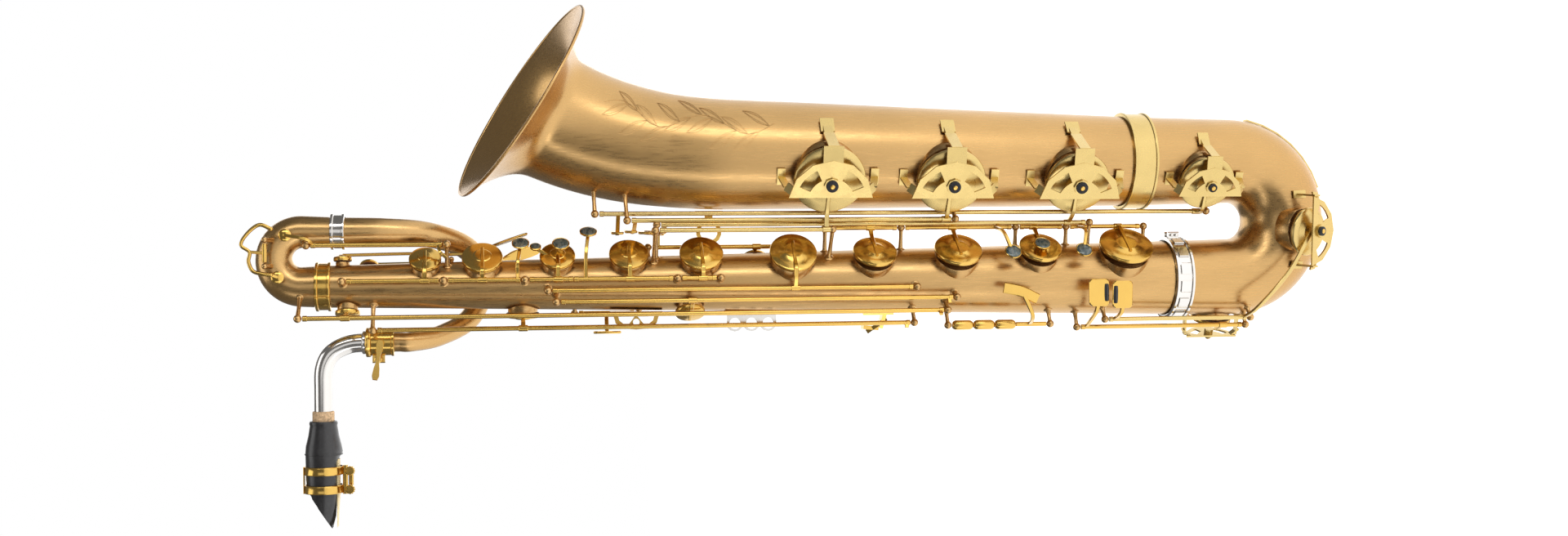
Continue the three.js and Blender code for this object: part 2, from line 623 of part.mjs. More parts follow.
function ligatureScrews() {
  const centre = at(MOUTHPIECE_FOOT_X, 0, NECK_RISE_Z);
  const z = -17.3 - GAP - LIGATURE_T - 7;
  const stems = [48, 66].map((along) => rod(centre.clone().add(at(-along, -9, z)), centre.clone().add(
    at(-along, 5, z)), 1.6, 8));
  const heads = [48, 66].map((along) => rod(centre.clone().add(at(-along, -13, z)), centre.clone().add(
    at(-along, -8, z)), 4.4, 10));
  const linkEnd = (along) => centre.clone().add(at(-along, 1.5, z));
  const link = bar(linkEnd(45), linkEnd(69), at(0, 0, 1), 5, 4.4);
  return join(...stems, ...heads, link);
}

// ---------------------------------------------------------------- fittings

const strapX = () => -(bodyRadius(STRAP_Z) + 12.5);

function strapBase() {
  const radius = bodyRadius(STRAP_Z);
  return bar(at(-radius - 0.6, 0, STRAP_Z - 27), at(-radius - 0.6, 0, STRAP_Z + 27), at(1, 0, 0), 12, 3.6);
}

/** Three strap rings in one plate, standing on the soldered base. */
function strapPlate() {
  const outer = STRAP_HOLE_R + STRAP_RING_W;
  const half = STRAP_PITCH + outer;
  const rise = -strapX() - bodyRadius(STRAP_Z) - 2.4 - GAP;
  const shape = new THREE.Shape();
  shape.moveTo(half, rise);
  shape.lineTo(-half, rise);
  [-1, 0, 1].forEach((ring) => shape.absarc(ring * STRAP_PITCH, 0, outer, Math.PI, 2 * Math.PI, false));
  shape.closePath();
  [-1, 0, 1].forEach((ring) => shape.holes.push(roundHole(ring * STRAP_PITCH, 0, STRAP_HOLE_R)));
  return plate(shape, STRAP_PLATE_T, at(strapX(), 0, STRAP_Z), at(0, 1, 0), at(0, 0, 1));
}

/** Ring between body and bell, with a foot clear of each by GAP. */
function bellBrace() {
  const z = 505;
  const y = 7;
  const bodySide = bodyRadius(z) + 1.4;
  const bellSide = bellAxis(z).x - bellRadius(z) - 0.9;
  const middle = (bodySide + bellSide) / 2;
  const ring = turned([[9, -2], [13, -2], [13, 2], [9, 2], [9, -2]], 14, at(middle, y, z), at(0, 1, 0));
  const legs = [
    bar(at(bodySide, y, z), at(middle - 11, y, z), at(0, 1, 0), 8, 4),
    bar(at(middle + 11, y, z), at(bellSide, y, z), at(0, 1, 0), 8, 4),
    bar(at(bodySide + 1, y, z - 14), at(bodySide + 1, y, z + 14), at(1, 0, 0), 10, 2),
    bar(at(bellSide - 1, y, z - 14), at(bellSide - 1, y, z + 14), at(1, 0, 0), 10, 2),
  ];
  return join(ring, ...legs);
}

/** Loop that guards the left thumb's rest, with a round window in its middle. */
function thumbRest() {
  const z = 580;
  const reach = bodyRadius(z);
  const shape = new THREE.Shape();
  shape.moveTo(-24, 0);
  shape.bezierCurveTo(-22, -16, -16, -18, 0, -18);
  shape.bezierCurveTo(16, -18, 22, -16, 24, 0);
  shape.lineTo(19, 0);
  shape.bezierCurveTo(18, -12, 14, -13, 7, -12);
  shape.lineTo(0, -3);
  shape.lineTo(-7, -12);
  shape.bezierCurveTo(-14, -13, -18, -12, -19, 0);
  shape.closePath();
  shape.holes.push(roundHole(0, -10.5, 3.4));
  const loop = plate(shape, 4, at(-reach - 1.4, -4, z), at(0, 1, 0), at(0, 0, 1));
  const pad = bar(at(-reach - 2.2, -4, z - 26), at(-reach - 2.2, -4, z + 26), at(1, 0, 0), 12, 2);
  return join(loop, pad);
}

function thumbHook() {
  const z = 330;
  const out = around(205);
  const face = (distance, rise) => out.clone().multiplyScalar(bodyRadius(z) + distance).add(at(0, 0, z + rise));
  return join(
    bar(face(2, -16), face(2, 16), out, 16, 2.6),
    arm([face(3, -8), face(14, -6), face(22, 4), face(21, 14)], at(0, 1, 0), 4, 12),
  );
}

/** Brass strip that protects the outside of the bend on its bell side. */
function bowStrip() {
  const outer = BOW_BEND_R + BOW_MID_R + 3.4;
  const start = radians(12);
  const end = radians(72);
  const shape = new THREE.Shape();
  shape.absarc(0, 0, outer, -end, -start, false);
  shape.absarc(0, 0, outer - 1.5, -start, -end, true);
  shape.closePath();
  return plate(shape, 9, bendCentre, at(0, -1, 0), at(1, 0, 0));
}

/** In-plane directions over a hole: `rise` lies across the tube, +Z stays +Z as near as it can. */
function facing(hole, forward = at(1, 0, 0)) {
  const along = new THREE.Vector3().crossVectors(hole.out, forward).normalize();
  if (along.z < 0) along.negate();
  const rise = new THREE.Vector3().crossVectors(hole.out, along);
  if (rise.dot(forward) < 0) rise.negate();
  return { along, rise };
}

const cupTop = (hole) => chimneyTop(hole) + PAD_CLOSED_GAP + CUP_DEPTH + CUP_DOME;

/** Places over a hole in a guard's units: along the straight edge, towards the arc and out of the tube. */
function guardSpots(hole, size, { along, rise }) {
  return (side, up, height) => hole.base.clone().addScaledVector(along, side * size)
    .addScaledVector(rise, up * size).addScaledVector(hole.out, height);
}

/** Crescent of a guard with its two windows, and the hub with its felt bumper. */
function guardCrescent(hole, size, axes) {
  const spot = guardSpots(hole, size, axes);
  const level = cupTop(hole) + GUARD_RISE;
  const drop = 16 * size;
  const shape = new THREE.Shape();
  shape.absarc(0, -drop, GUARD_R * size, radians(4), radians(176), false);
  shape.closePath();
  [[24, 64], [116, 156]].forEach(([from, to]) => {
    const window = new THREE.Path();
    window.absarc(0, -drop, 35 * size, radians(from), radians(to), false);
    window.absarc(0, -drop, 23 * size, radians(to), radians(from), true);
    window.closePath();
    shape.holes.push(window);
  });
  const arcSide = new THREE.Vector3().crossVectors(hole.out, axes.along).dot(axes.rise);
  const across = axes.along.clone().multiplyScalar(Math.sign(arcSide));
  return join(
    plate(shape, PLATE_T, spot(0, 0, level), hole.out, across),
    rod(spot(0, 0, level - 1), spot(0, 0, level + 3), 8 * size, 8),
    rod(spot(0, 0, level - BUMPER_DEPTH), spot(0, 0, level + 3.6), 4.5, 6),
  );
}

/** Guard over a bell key: the crescent on a flared top leg and two side legs. */
function bellGuard(hole, size) {
  const axes = facing(hole);
  const spot = guardSpots(hole, size, axes);
  const level = cupTop(hole) + GUARD_RISE;
  const surface = hole.tube + GAP + 1.2;
  const lean = (angle) => hole.out.clone().multiplyScalar(Math.cos(radians(angle)))
    .addScaledVector(axes.rise, Math.sin(radians(angle)));
  const foot = (angle, lift) => hole.base.clone().addScaledVector(lean(angle), surface + lift);
  const footAngle = THREE.MathUtils.radToDeg(Math.asin((GUARD_R * size) / surface));
  const elbow = surface * Math.cos(radians(footAngle)) + 9;
  const top = [
    bar(spot(0, 22, level), spot(0, 40, level - 3), hole.out, 20 * size, PLATE_T),
    bar(spot(0, 39.6, level - 2.5), spot(0, 42, elbow), axes.rise, 11 * size, PLATE_T),
    bar(spot(0, 41.8, elbow + 1), foot(footAngle + 3, 1.6), axes.rise, 9 * size, PLATE_T),
    bar(foot(footAngle - 3, 1.6), foot(footAngle + 13, 1.6), lean(footAngle + 5), 14 * size, PLATE_T),
  ];
  const sides = [-1, 1].flatMap((side) => [
    bar(spot(side * 36, -8, level), spot(side * 44, -4, level - 7), hole.out, 9, PLATE_T),
    bar(spot(side * 43.4, -4, level - 6), spot(side * 47, 0, surface + 1), axes.rise, 7, PLATE_T),
    bar(spot(side * 47, -8, surface + 0.8), spot(side * 47, 9, surface + 0.8), hole.out, 8, PLATE_T),
  ]);
  return join(guardCrescent(hole, size, axes), ...top, ...sides);
}

/** Place on the bow's outside that is nearest to a point, and the direction out of it. */
function onBow(point) {
  const legLength = BODY_FOOT_Z - BOW_BEND_Z;
  const pathLength = legLength + Math.PI * BOW_BEND_R + BELL_JOINT_Z - BOW_BEND_Z;
  const spoke = at(point.x - bendCentre.x, 0, Math.min(0, point.z - bendCentre.z)).setLength(BOW_BEND_R);
  const isOnBend = point.z < BOW_BEND_Z;
  const centre = isOnBend ? bendCentre.clone().add(spoke) : bodyAxis(point.z);
  const turn = isOnBend ? Math.atan2(-spoke.z, -spoke.x) : 0;
  const radius = mix(BODY_FOOT_R, BELL_JOINT_R, (legLength + turn * BOW_BEND_R) / pathLength);
  const out = point.clone().sub(centre).normalize();
  return { foot: centre.clone().addScaledVector(out, radius + GAP + 1.2), out };
}

/** Guard over a key of the bow: the crescent on two folded legs at its sides. */
function bowGuard(hole, size, forward) {
  const axes = facing(hole, forward);
  const spot = guardSpots(hole, size, axes);
  const level = cupTop(hole) + GUARD_RISE;
  const legs = [-1, 1].flatMap((side) => {
    const { foot, out } = onBow(spot(side * 45, -4, level - 16));
    const flat = axes.rise.clone().addScaledVector(out, -axes.rise.dot(out)).normalize();
    const toe = (reach) => foot.clone().addScaledVector(flat, reach).addScaledVector(out, 0.6);
    return [
      arm([spot(side * 34, -6, level), spot(side * 43, -4, level - 4), foot], axes.rise, PLATE_T, 7),
      bar(toe(-7), toe(7), out, 8, PLATE_T),
    ];
  });
  return join(guardCrescent(hole, size, axes), ...legs);
}

// ---------------------------------------------------------------- keys

/** Pad cup over a tone hole, closed on its chimney. */
function padCup(hole) {
  const R = hole.cup;
  return turned([
    [0, 0], [R - 1.2, 0], [R, 1.8], [R, CUP_DEPTH], [0, CUP_DEPTH + CUP_DOME],
  ], CUP_SIDES, pointOn(hole, chimneyTop(hole) + PAD_CLOSED_GAP), hole.out);
}

/** Arm from a hinge tube, up past the cup's edge and over to its middle. */
function cupArm(hole, hinge) {
  const level = chimneyTop(hole) + PAD_CLOSED_GAP + CUP_DEPTH + 0.9;
  const centre = pointOn(hole, level + CUP_DOME * 0.6);
  const toHinge = hinge.clone().sub(centre);
  const flat = toHinge.clone().addScaledVector(hole.out, -toHinge.dot(hole.out));
  const distance = flat.length();
  flat.normalize();
  const knee = pointOn(hole, level).addScaledVector(flat, Math.min(hole.cup + 1.2, distance));
  const side = new THREE.Vector3().crossVectors(flat, hole.out);
  const past = centre.clone().addScaledVector(flat, -hole.cup * 0.55);
  return join(arm([hinge, knee, centre], side, ARM_T, ARM_W), bar(centre, past, side, ARM_T, ARM_W));
}

const span = (name, index) => [
  lines[name].posts[index] - POST_BALL_R - GAP, lines[name].posts[index + 1] + POST_BALL_R + GAP,
];
const hingeTube = (name, top, foot) => rod(onLine(name, foot), onLine(name, top));

/** Finger pearl in its brass holder on a stalk from a hinge tube. */
function pearlTouch(centre, out, stalkFrom, radius = PEARL_R, knee = null) {
  const holder = turned([
    [0, -PEARL_T], [radius, -PEARL_T * 0.5], [radius, 0.4], [0, 1.2],
  ], 8, centre, out);
  const neckPoint = centre.clone().addScaledVector(out, -PEARL_T * 0.6);
  const points = knee ? [stalkFrom, knee, neckPoint] : [stalkFrom, neckPoint];
  return join(holder, arm(points, at(0, 0, 1), 3, 3));
}

function stackKey(name, lineName, top, foot, extras = []) {
  const hole = holeOnBody(stackHoles[name]);
  return join(
    hingeTube(lineName, top, foot),
    padCup(hole),
    cupArm(hole, onLine(lineName, stackHoles[name].z)),
    ...extras,
  );
}

const onBody = (turn, distance, z) => around(turn).multiplyScalar(distance).add(at(0, 0, z));

function stackKeys() {
  const split = 643;
  const upper = [0, 1, 2, 3].map((index) => span('upperStack', index));
  const lower = [0, 1, 2, 3].map((index) => span('lowerStack', index));
  const gSpan = span('gKey', 0);
  return {
    key_high: stackKey('high', 'upperStack', upper[0][0], upper[0][1]),
    key_c: stackKey('c', 'upperStack', upper[1][0], upper[1][1], [
      pearlTouch(onBody(31, 46, 694), around(31), onLine('upperStack', 697), PEARL_R, onBody(62, 44, 697)),
    ]),
    key_b: stackKey('b', 'upperStack', upper[2][0], split + GAP / 2, [
      pearlTouch(onBody(34, 47, 655), around(34), onBody(36, 33, 655)),
      pearlTouch(onBody(30, 41, 679.5), around(30), onBody(36, 33, 668), 5.6),
    ]),
    key_bis: stackKey('bis', 'upperStack', split - GAP / 2, upper[2][1], [
      pearlTouch(onBody(24, 55, 628), around(24), onLine('upperStack', 631), PEARL_R, onBody(52, 45, 631)),
    ]),
    key_a: stackKey('a', 'upperStack', upper[3][0], upper[3][1]),
    key_g: stackKey('g', 'gKey', gSpan[0], gSpan[1]),
    key_f_sharp: stackKey('fsharp', 'lowerStack', lower[0][0], lower[0][1]),
    key_f: stackKey('f', 'lowerStack', lower[1][0], lower[1][1], [
      pearlTouch(onBody(62, 50, 202), around(60), onLine('lowerStack', 210), PEARL_R, onBody(38, 56, 208)),
    ]),
    key_e: stackKey('e', 'lowerStack', lower[2][0], lower[2][1], [
      pearlTouch(onBody(52, 52, 170), around(50), onBody(47, 44, 170)),
    ]),
    key_d: stackKey('d', 'lowerStack', lower[3][0], lower[3][1], [
      pearlTouch(onBody(62, 52, 128), around(60), onLine('lowerStack', 121), PEARL_R, onBody(38, 58, 122)),
    ]),
  };
}

/** Flat disc key on the bell, with its long rod. */
function bellKey(hole, lineName, extras) {
  const [top, foot] = span(lineName, 0);
  const armPiece = cupArm(hole, onLine(lineName, hole.base.z));
  return join(hingeTube(lineName, top, foot), padCup(hole), armPiece, ...extras);
}

/** Little-finger plate of the left hand, reached from a long rod by a bent arm. */
function tablePlate(lineName, hingeZ, plateZ) {
  const hinge = onLine(lineName, hingeZ);
  return join(
    arm([hinge, at(TABLE_X, -8, hingeZ), at(TABLE_X, -6, plateZ)], at(1, 0, 0), ARM_W, ARM_T),
    bar(at(TABLE_X, -13, plateZ), at(TABLE_X, 7, plateZ), at(1, 0, 0), 12.6, 2.6),
  );
}

function bellKeys() {
  const key = (hole, lineName, extras) => ({ lineName, part: bellKey(hole, lineName, extras) });
  return {
    key_low_a: key(holeOnBell(bellHoles.lowA), 'lowA', []),
    key_low_b_flat: key(holeOnBell(bellHoles.lowBflat), 'lowBflat', [tablePlate('lowBflat', 582, 584.5)]),
    key_low_b: key(holeOnBell(bellHoles.lowB), 'lowB', [tablePlate('lowB', 552, 571)]),
    key_low_c_sharp: key(cSharpHole, 'lowCsharp', [tablePlate('lowCsharp', 598, 598)]),
  };
}

/** Small-finger plate of the right hand with a roller at its edge. */
function pinkyPlate(lineName, zArm, zMid) {
  const hinge = onLine(lineName, zArm);
  const centre = at(-14, -56, zMid);
  const face = at(0, -1, 0);
  return join(
    arm([hinge, at(-32, -52, zArm), centre.clone().add(at(0, 1, zArm - zMid))], at(0, 0, 1), ARM_T, ARM_W),
    bar(centre.clone().add(at(-14, 0, 0)), centre.clone().add(at(14, 0, 0)), face, 21, 3),
  );
}

function lowCKey() {
  const [top, foot] = span('lowC', 0);
  const middle = pointOn(lowCHole, cupTop(lowCHole));
  return join(
    hingeTube('lowC', top, foot),
    padCup(lowCHole),
    arm([onLine('lowC', foot + 3), at(-28, -56, foot - 2), at(8, -64, -84), middle], at(0, 0, 1)),
    pinkyPlate('lowC', 90, 91),
  );
}

function lowEflatKey() {
  const [top, foot] = span('lowEflat', 0);
  return join(
    hingeTube('lowEflat', top, foot),
    padCup(eFlatHole),
    cupArm(eFlatHole, onLine('lowEflat', eFlatHole.base.z)),
    pinkyPlate('lowEflat', 116, 115),
  );
}

/** Side key: long rod with a pad cup near its top and a short link arm at its foot. */
function sideKey(holeName, lineName, linkOut) {
  const hole = holeOnBody(backHoles[holeName]);
  const [top, foot] = span(lineName, 0);
  const hinge = onLine(lineName, hole.base.z);
  return join(
    hingeTube(lineName, top, foot),
    padCup(hole),
    cupArm(hole, hinge),
    bar(onLine(lineName, foot + 4), onLine(lineName, foot + 4).add(linkOut), at(0, 0, 1), ARM_T, ARM_W),
  );
}

const touchTop = lines.touches.posts[0] - POST_BALL_R - GAP;

/** Barrel touch of a side key, turning on the touches' own rod. */
function barrelTouch(index) {
  const top = touchTop - index * (TOUCH_LENGTH + GAP);
  const place = onLine('touches', top);
  return turned([
    [0, 0], [ROD_R + 0.5, 0], [TOUCH_R, 3], [TOUCH_R, TOUCH_LENGTH - 3], [ROD_R + 0.5, TOUCH_LENGTH],
    [0, TOUCH_LENGTH],
  ], 12, place, at(0, 0, -1));
}

function sidePaddle() {
  const top = touchTop - 3 * (TOUCH_LENGTH + GAP);
  const foot = lines.touches.posts[1] + POST_BALL_R + GAP;
  const face = at(0, -1, 0);
  return join(
    hingeTube('touches', top, foot),
    arm([onLine('touches', 178), at(-36, -50, 183), at(-16, -51, 192)], at(0, 0, 1), ARM_T, ARM_W),
    bar(at(-8, -51, 213), at(-12, -51, 195), face, 11, 2.6),
    bar(at(-12, -51, 196), at(-20, -51, 178), face, 11, 2.6),
  );
}

function gSharpKey() {
  const hole = holeOnBody(backHoles.gSharp);
  const [top, foot] = span('gSharp', 0);
  return join(
    hingeTube('gSharp', top, foot),
    padCup(hole),
    cupArm(hole, onLine('gSharp', hole.base.z)),
    arm([onLine('gSharp', 556), at(48, 12, 556)], at(0, 0, 1), ARM_T, ARM_W),
    bar(at(49, 6, 556), at(49, 22, 556), at(1, 0, 0), 12, 2.6),
  );
}

function lowAThumbLever() {
  const [top, foot] = span('lowAThumb', 0);
  return join(
    hingeTube('lowAThumb', top, foot),
    arm([onLine('lowAThumb', 608), at(-47, 18, 608), at(-49, 12, 608)], at(0, 0, 1), ARM_T, ARM_W),
    bar(at(-49, 12, 594), at(-49, 12, 622), at(1, 0, 0), 14, 2.6),
  );
}

// ---------------------------------------------------------------- palm keys and octave keys

// Each palm key rocks on a short rod set across the body: its hinge height and where its leaf touch lies.
const palmKeys = {
  one: { hinge: 774, leafZ: 706, leafOut: 44 },
  two: { hinge: 762, leafZ: 692, leafOut: 46 },
  three: { hinge: 744, leafZ: 674, leafOut: 44 },
};
function palmHinge(name) {
  const turn = palmHoles[name].turn;
  const z = palmKeys[name].hinge;
  const centre = onBody(turn, bodyRadius(z) + PALM_RISE, z);
  return { centre, out: around(turn), axis: around(turn + 90) };
}

function palmPosts() {
  return Object.keys(palmKeys).flatMap((name) => {
    const { centre, out, axis } = palmHinge(name);
    return [-1, 1].map((side) => {
      const head = centre.clone().addScaledVector(axis, side * PALM_POST_OFFSET);
      const sink = PALM_RISE + 3;
      return join(cone(head.clone().addScaledVector(out, -sink), head, 3, 2), ball(head, 2.9));
    });
  });
}

function palmKey(name) {
  const { centre, out, axis } = palmHinge(name);
  const hole = holeOnBody(palmHoles[name]);
  const { leafZ, leafOut } = palmKeys[name];
  const half = PALM_POST_OFFSET - 2.9 - GAP;
  const top = pointOn(hole, cupTop(hole) - 0.6);
  const knee = onBody(palmHoles[name].turn, hole.tube + 11, palmKeys[name].hinge + 20);
  const leaf = onBody(palmHoles[name].turn, leafOut, leafZ);
  const leafFace = out.clone().add(at(0, 0, 0.35)).normalize();
  const leafTop = at(0, 0, 1).addScaledVector(leafFace, -leafFace.z).normalize().multiplyScalar(13).add(leaf);
  const outline = new THREE.Shape();
  outline.moveTo(-19, -2);
  outline.bezierCurveTo(-8, -8, 8, -9, 17, -5);
  outline.bezierCurveTo(22, -2, 22, 2, 17, 5);
  outline.bezierCurveTo(8, 9, -8, 8, -19, 2);
  outline.closePath();
  return join(
    rod(centre.clone().addScaledVector(axis, -half), centre.clone().addScaledVector(axis, half)),
    padCup(hole),
    arm([top, knee, centre], axis, ARM_T, ARM_W),
    arm([centre, onBody(palmHoles[name].turn, 32, leafZ + 32), leafTop], axis, ARM_T, ARM_W),
    plate(outline, 2.2, leaf, leafFace, at(0, 0, -1)),
  );
}

/** Small pad cup of an octave vent. */
function ventCup(pip) {
  return turned([[0, 0], [5.4, 0], [6, 1], [6, 3], [3.4, 4.6], [0, 5]], 8,
    pip.tip.clone().addScaledVector(pip.out, PAD_CLOSED_GAP), pip.out);
}

function octaveKey() {
  const [top, foot] = span('octave', 0);
  const pip = octavePips()[0];
  const cupBack = pip.tip.clone().addScaledVector(pip.out, PAD_CLOSED_GAP + 4.4);
  return join(
    hingeTube('octave', top, foot),
    ventCup(pip),
    arm([onLine('octave', top - 3), at(46, -33, 898), cupBack], at(1, 0, 0), 3, 2.4),
    arm([onLine('octave', foot + 4), at(33, -33, foot + 2), at(27, -33, foot - 4)], at(0, 0, 1), 3, 2.4),
  );
}

const lyreHinge = () => at(33, -30, 936);

/** Lyre-shaped lever over the top of the instrument that works the upper vent. */
function octaveLyre() {
  const pip = octavePips()[1];
  const hinge = lyreHinge();
  const cupBack = pip.tip.clone().addScaledVector(pip.out, PAD_CLOSED_GAP + 4.4);
  const loop = new THREE.CatmullRomCurve3([
    at(56, -28, 930), at(60, -27, 941), at(52, -26, 952), at(41, -27, 958), at(34, -28, 950), at(25, -28, 951),
    at(16, -29, 947), at(13, -31, 938), at(12, -32, 930),
  ]);
  return join(
    rod(hinge.clone().add(at(-9, 0, 0)), hinge.clone().add(at(9, 0, 0))),
    sweep(stationsAlong(loop, 12, () => 2), 5),
    arm([hinge, at(34, -28, 949)], at(1, 0, 0), 3, 3),
    ventCup(pip),
    arm([at(12.4, -31.5, 932), cupBack], at(1, 0, 0), 3, 2.4),
  );
}

/** Two ball posts that carry the lyre lever. */
function lyrePosts() {
  const hinge = lyreHinge();
  return [-1, 1].map((side) => {
    const head = hinge.clone().add(at(side * (9.4 + GAP + 2.9), 0, 0));
    return join(cone(at(head.x, -9, 929), head, 3, 2), ball(head, 2.9));
  });
}

// ---------------------------------------------------------------- the instrument

function mesh(name, solidPart, look) {
  const { vertProperties, triVerts, numProp } = solidPart.getMesh();
  const points = new Float32Array((vertProperties.length / numProp) * 3);
  for (let index = 0; index < points.length / 3; index += 1) {
    points.set(vertProperties.subarray(index * numProp, index * numProp + 3), index * 3);
  }
  const geometry = new THREE.BufferGeometry();
  geometry.setAttribute('position', new THREE.BufferAttribute(points, 3));
  geometry.setIndex(new THREE.BufferAttribute(new Uint32Array(triVerts), 1));
  const faceted = geometry.toNonIndexed();
  faceted.computeVertexNormals();
  const result = new THREE.Mesh(faceted, new THREE.MeshStandardMaterial(look));
  result.name = name;
  return result;
}

const saxophone = new THREE.Group();
saxophone.position.set(-strapX(), 0, -STRAP_Z);

const place = (name, part, look = keyGold) => saxophone.add(mesh(name, part, look));
const lowerStackKeys = ['key_f_sharp', 'key_f', 'key_e', 'key_d'];

/** Places a key that was built closed, swung open by some degrees about its hinge line. */
function standOpen(name, part, look, lineName, degrees) {
  const hinge = onLine(lineName, 0);
  const pivot = new THREE.Group();
  pivot.position.copy(hinge);
  pivot.rotation.z = radians(degrees);
  const key = mesh(name, part, look);
  key.position.copy(hinge).negate();
  saxophone.add(pivot.add(key));
}

place('body_tube', bodyTube(), lacquer);
place('bow', bow(), lacquer);
place('bell', bellTube(), lacquer);
place('bell_bow_band', bellBowBand(), paleBrass);
place('body_bow_clamp', bodyBowClamp(), silver);
place('upper_bow', upperBow(), lacquer);
place('top_ferrule', topFerrule());
place('return_pipe', returnPipe(), lacquer);
place('pipe_ring', pipeRing(), silver);
place('neck_receiver', neckReceiver());
place('neck_screw', neckScrew());
place('neck', neck(), silver);
place('neck_cork', neckCork(), corkTan);
place('mouthpiece', mouthpiece(), ebonite);
place('reed', reed(), cane);
place('ligature', ligature());
place('ligature_screws', ligatureScrews());
place('strap_plate', strapPlate(), silver);
place('bell_brace', bellBrace());
place('thumb_rest', thumbRest());
place('thumb_hook', thumbHook());
place('bow_strip', bowStrip(), paleBrass);
place('guard_low_a', bellGuard(holeOnBell(bellHoles.lowA), 1), paleBrass);
place('guard_low_b_flat', bellGuard(holeOnBell(bellHoles.lowBflat), 1), paleBrass);
place('guard_low_b', bellGuard(holeOnBell(bellHoles.lowB), 1), paleBrass);
place('guard_low_c_sharp', bellGuard(cSharpHole, 0.8), paleBrass);
place('guard_low_c', bowGuard(lowCHole, 0.85, at(0, 0, -1)), paleBrass);
place('guard_low_e_flat', bowGuard(eFlatHole, 0.66), paleBrass);
Object.entries(stackKeys()).forEach(([name, part]) => {
  const isLower = lowerStackKeys.includes(name);
  const stackLine = isLower ? 'lowerStack' : 'upperStack';
  const lineName = name === 'key_g' ? 'gKey' : stackLine;
  standOpen(name, part, keyGold, lineName, isLower ? STACK_OPENING : -STACK_OPENING);
});
Object.entries(bellKeys()).forEach(([name, { lineName, part }]) => (
  standOpen(name, part, paleBrass, lineName, -BELL_OPENING)
));
standOpen('key_low_c', lowCKey(), paleBrass, 'lowC', -LOW_C_OPENING);
place('key_low_e_flat', lowEflatKey());
place('key_g_sharp', gSharpKey());
place('key_side_c', sideKey('sideC', 'sideLow', at(-6, -3, 0)));
place('key_side_b_flat', sideKey('sideBflat', 'sideHigh', at(-5, -2, 0)));
place('key_high_e', sideKey('highE', 'sideMid', at(-4, -6, 0)));
[0, 1, 2].forEach((index) => place(`side_touch_${index + 1}`, barrelTouch(index)));
place('side_paddle', sidePaddle());
place('low_a_thumb_lever', lowAThumbLever());
Object.keys(palmKeys).forEach((name) => place(`palm_key_${name}`, palmKey(name)));
place('octave_key', octaveKey());
place('octave_lyre', octaveLyre());

export default saxophone;
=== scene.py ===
"""Looks of the baritone saxophone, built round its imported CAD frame. Lengths are millimetres until placed."""
import math
import bmesh
import bpy
from mathutils import Matrix, Vector


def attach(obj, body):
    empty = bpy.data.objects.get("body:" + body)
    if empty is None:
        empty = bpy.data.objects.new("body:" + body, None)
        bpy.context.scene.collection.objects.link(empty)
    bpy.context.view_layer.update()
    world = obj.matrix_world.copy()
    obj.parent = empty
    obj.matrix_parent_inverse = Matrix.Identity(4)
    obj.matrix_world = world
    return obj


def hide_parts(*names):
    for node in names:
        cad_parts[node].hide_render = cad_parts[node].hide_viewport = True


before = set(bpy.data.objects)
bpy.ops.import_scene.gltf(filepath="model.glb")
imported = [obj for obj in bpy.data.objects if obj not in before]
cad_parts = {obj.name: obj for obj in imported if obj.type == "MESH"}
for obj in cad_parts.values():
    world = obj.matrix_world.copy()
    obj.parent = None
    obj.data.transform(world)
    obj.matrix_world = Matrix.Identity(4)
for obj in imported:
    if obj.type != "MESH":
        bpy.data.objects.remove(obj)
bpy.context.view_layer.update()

# ---------------------------------------------------------------- sizes shared with the CAD part

SHIFT = Vector((41.727, 0, -463))         # body frame to row frame
GAP = 0.4
TUBE_WALL = 1.4
BODY_FOOT_Z, BODY_FOOT_R = 16, 38.6
BODY_TOP_Z, BODY_TOP_R = 884, 20.4
BOW_BEND_R, BOW_BEND_Z, BOW_MID_R = 61, -45, 43
BELL_JOINT_Z, BELL_JOINT_R = 60, 46.3
BELL_THROAT_X, BELL_THROAT_Z, BELL_THROAT_R = 130, 545, 57
BELL_RIM = Vector((183.5, 0, 693))
BELL_RIM_R = 112
BELL_BEND_Z, BELL_BEND_EASE = 480, 78
BELL_FLARE, BELL_STRAIGHT = 42, 485
BELL_LEAN, BELL_TURN = 32, 11
TOP_BEND_R, TOP_BEND_Z = 26.8, 904
PIPE_TOP_Z, PIPE_TOP_R, PIPE_END_Z = 870, 14, 822
RECEIVER_X, RECEIVER_SEAT, RECEIVER_HEIGHT = -55, 5, 27
NECK_FOOT_R, NECK_TIP_R = 9.4, 8.2
NECK_RISE_Z, NECK_TIP_X = 885.5, -152
CHIMNEY_RISE, CHIMNEY_WALL = 3.2, 1.5
CUP_OVERHANG, CUP_DEPTH, CUP_DOME = 2.2, 4.6, 2.2
PAD_CLOSED_GAP = 0.5
ROD_R, POST_BALL_R = 2.3, 3.9
PEARL_R, PEARL_T = 8.6, 3.4
STACK_OPENING, BELL_OPENING, LOW_C_OPENING = 8, 6, 4.5
STRAP_Z, STRAP_BASE_HALF = 463, 27
MOUTHPIECE_FOOT_X, TABLE_DEPTH, SHANK_BORE_R = -131, 12.4, 10.9
LYRE_HINGE = Vector((33, -30, 936))
TABLE_X = 49                              # plane of the left hand's little-finger plates
TOUCH_PITCH = 22.4                        # from one barrel touch to the next
GUARD_RISE = 14                           # of a guard above the closed cup under it
PALM_RISE, PALM_POST_OFFSET = 7.5, 7
SMALL_BALL_R = 2.9
BELL_HOLE_TURN = 115                      # the bell's tone holes face the player's right
FLOOR_Z, FLOOR_HALF = -160, 9000

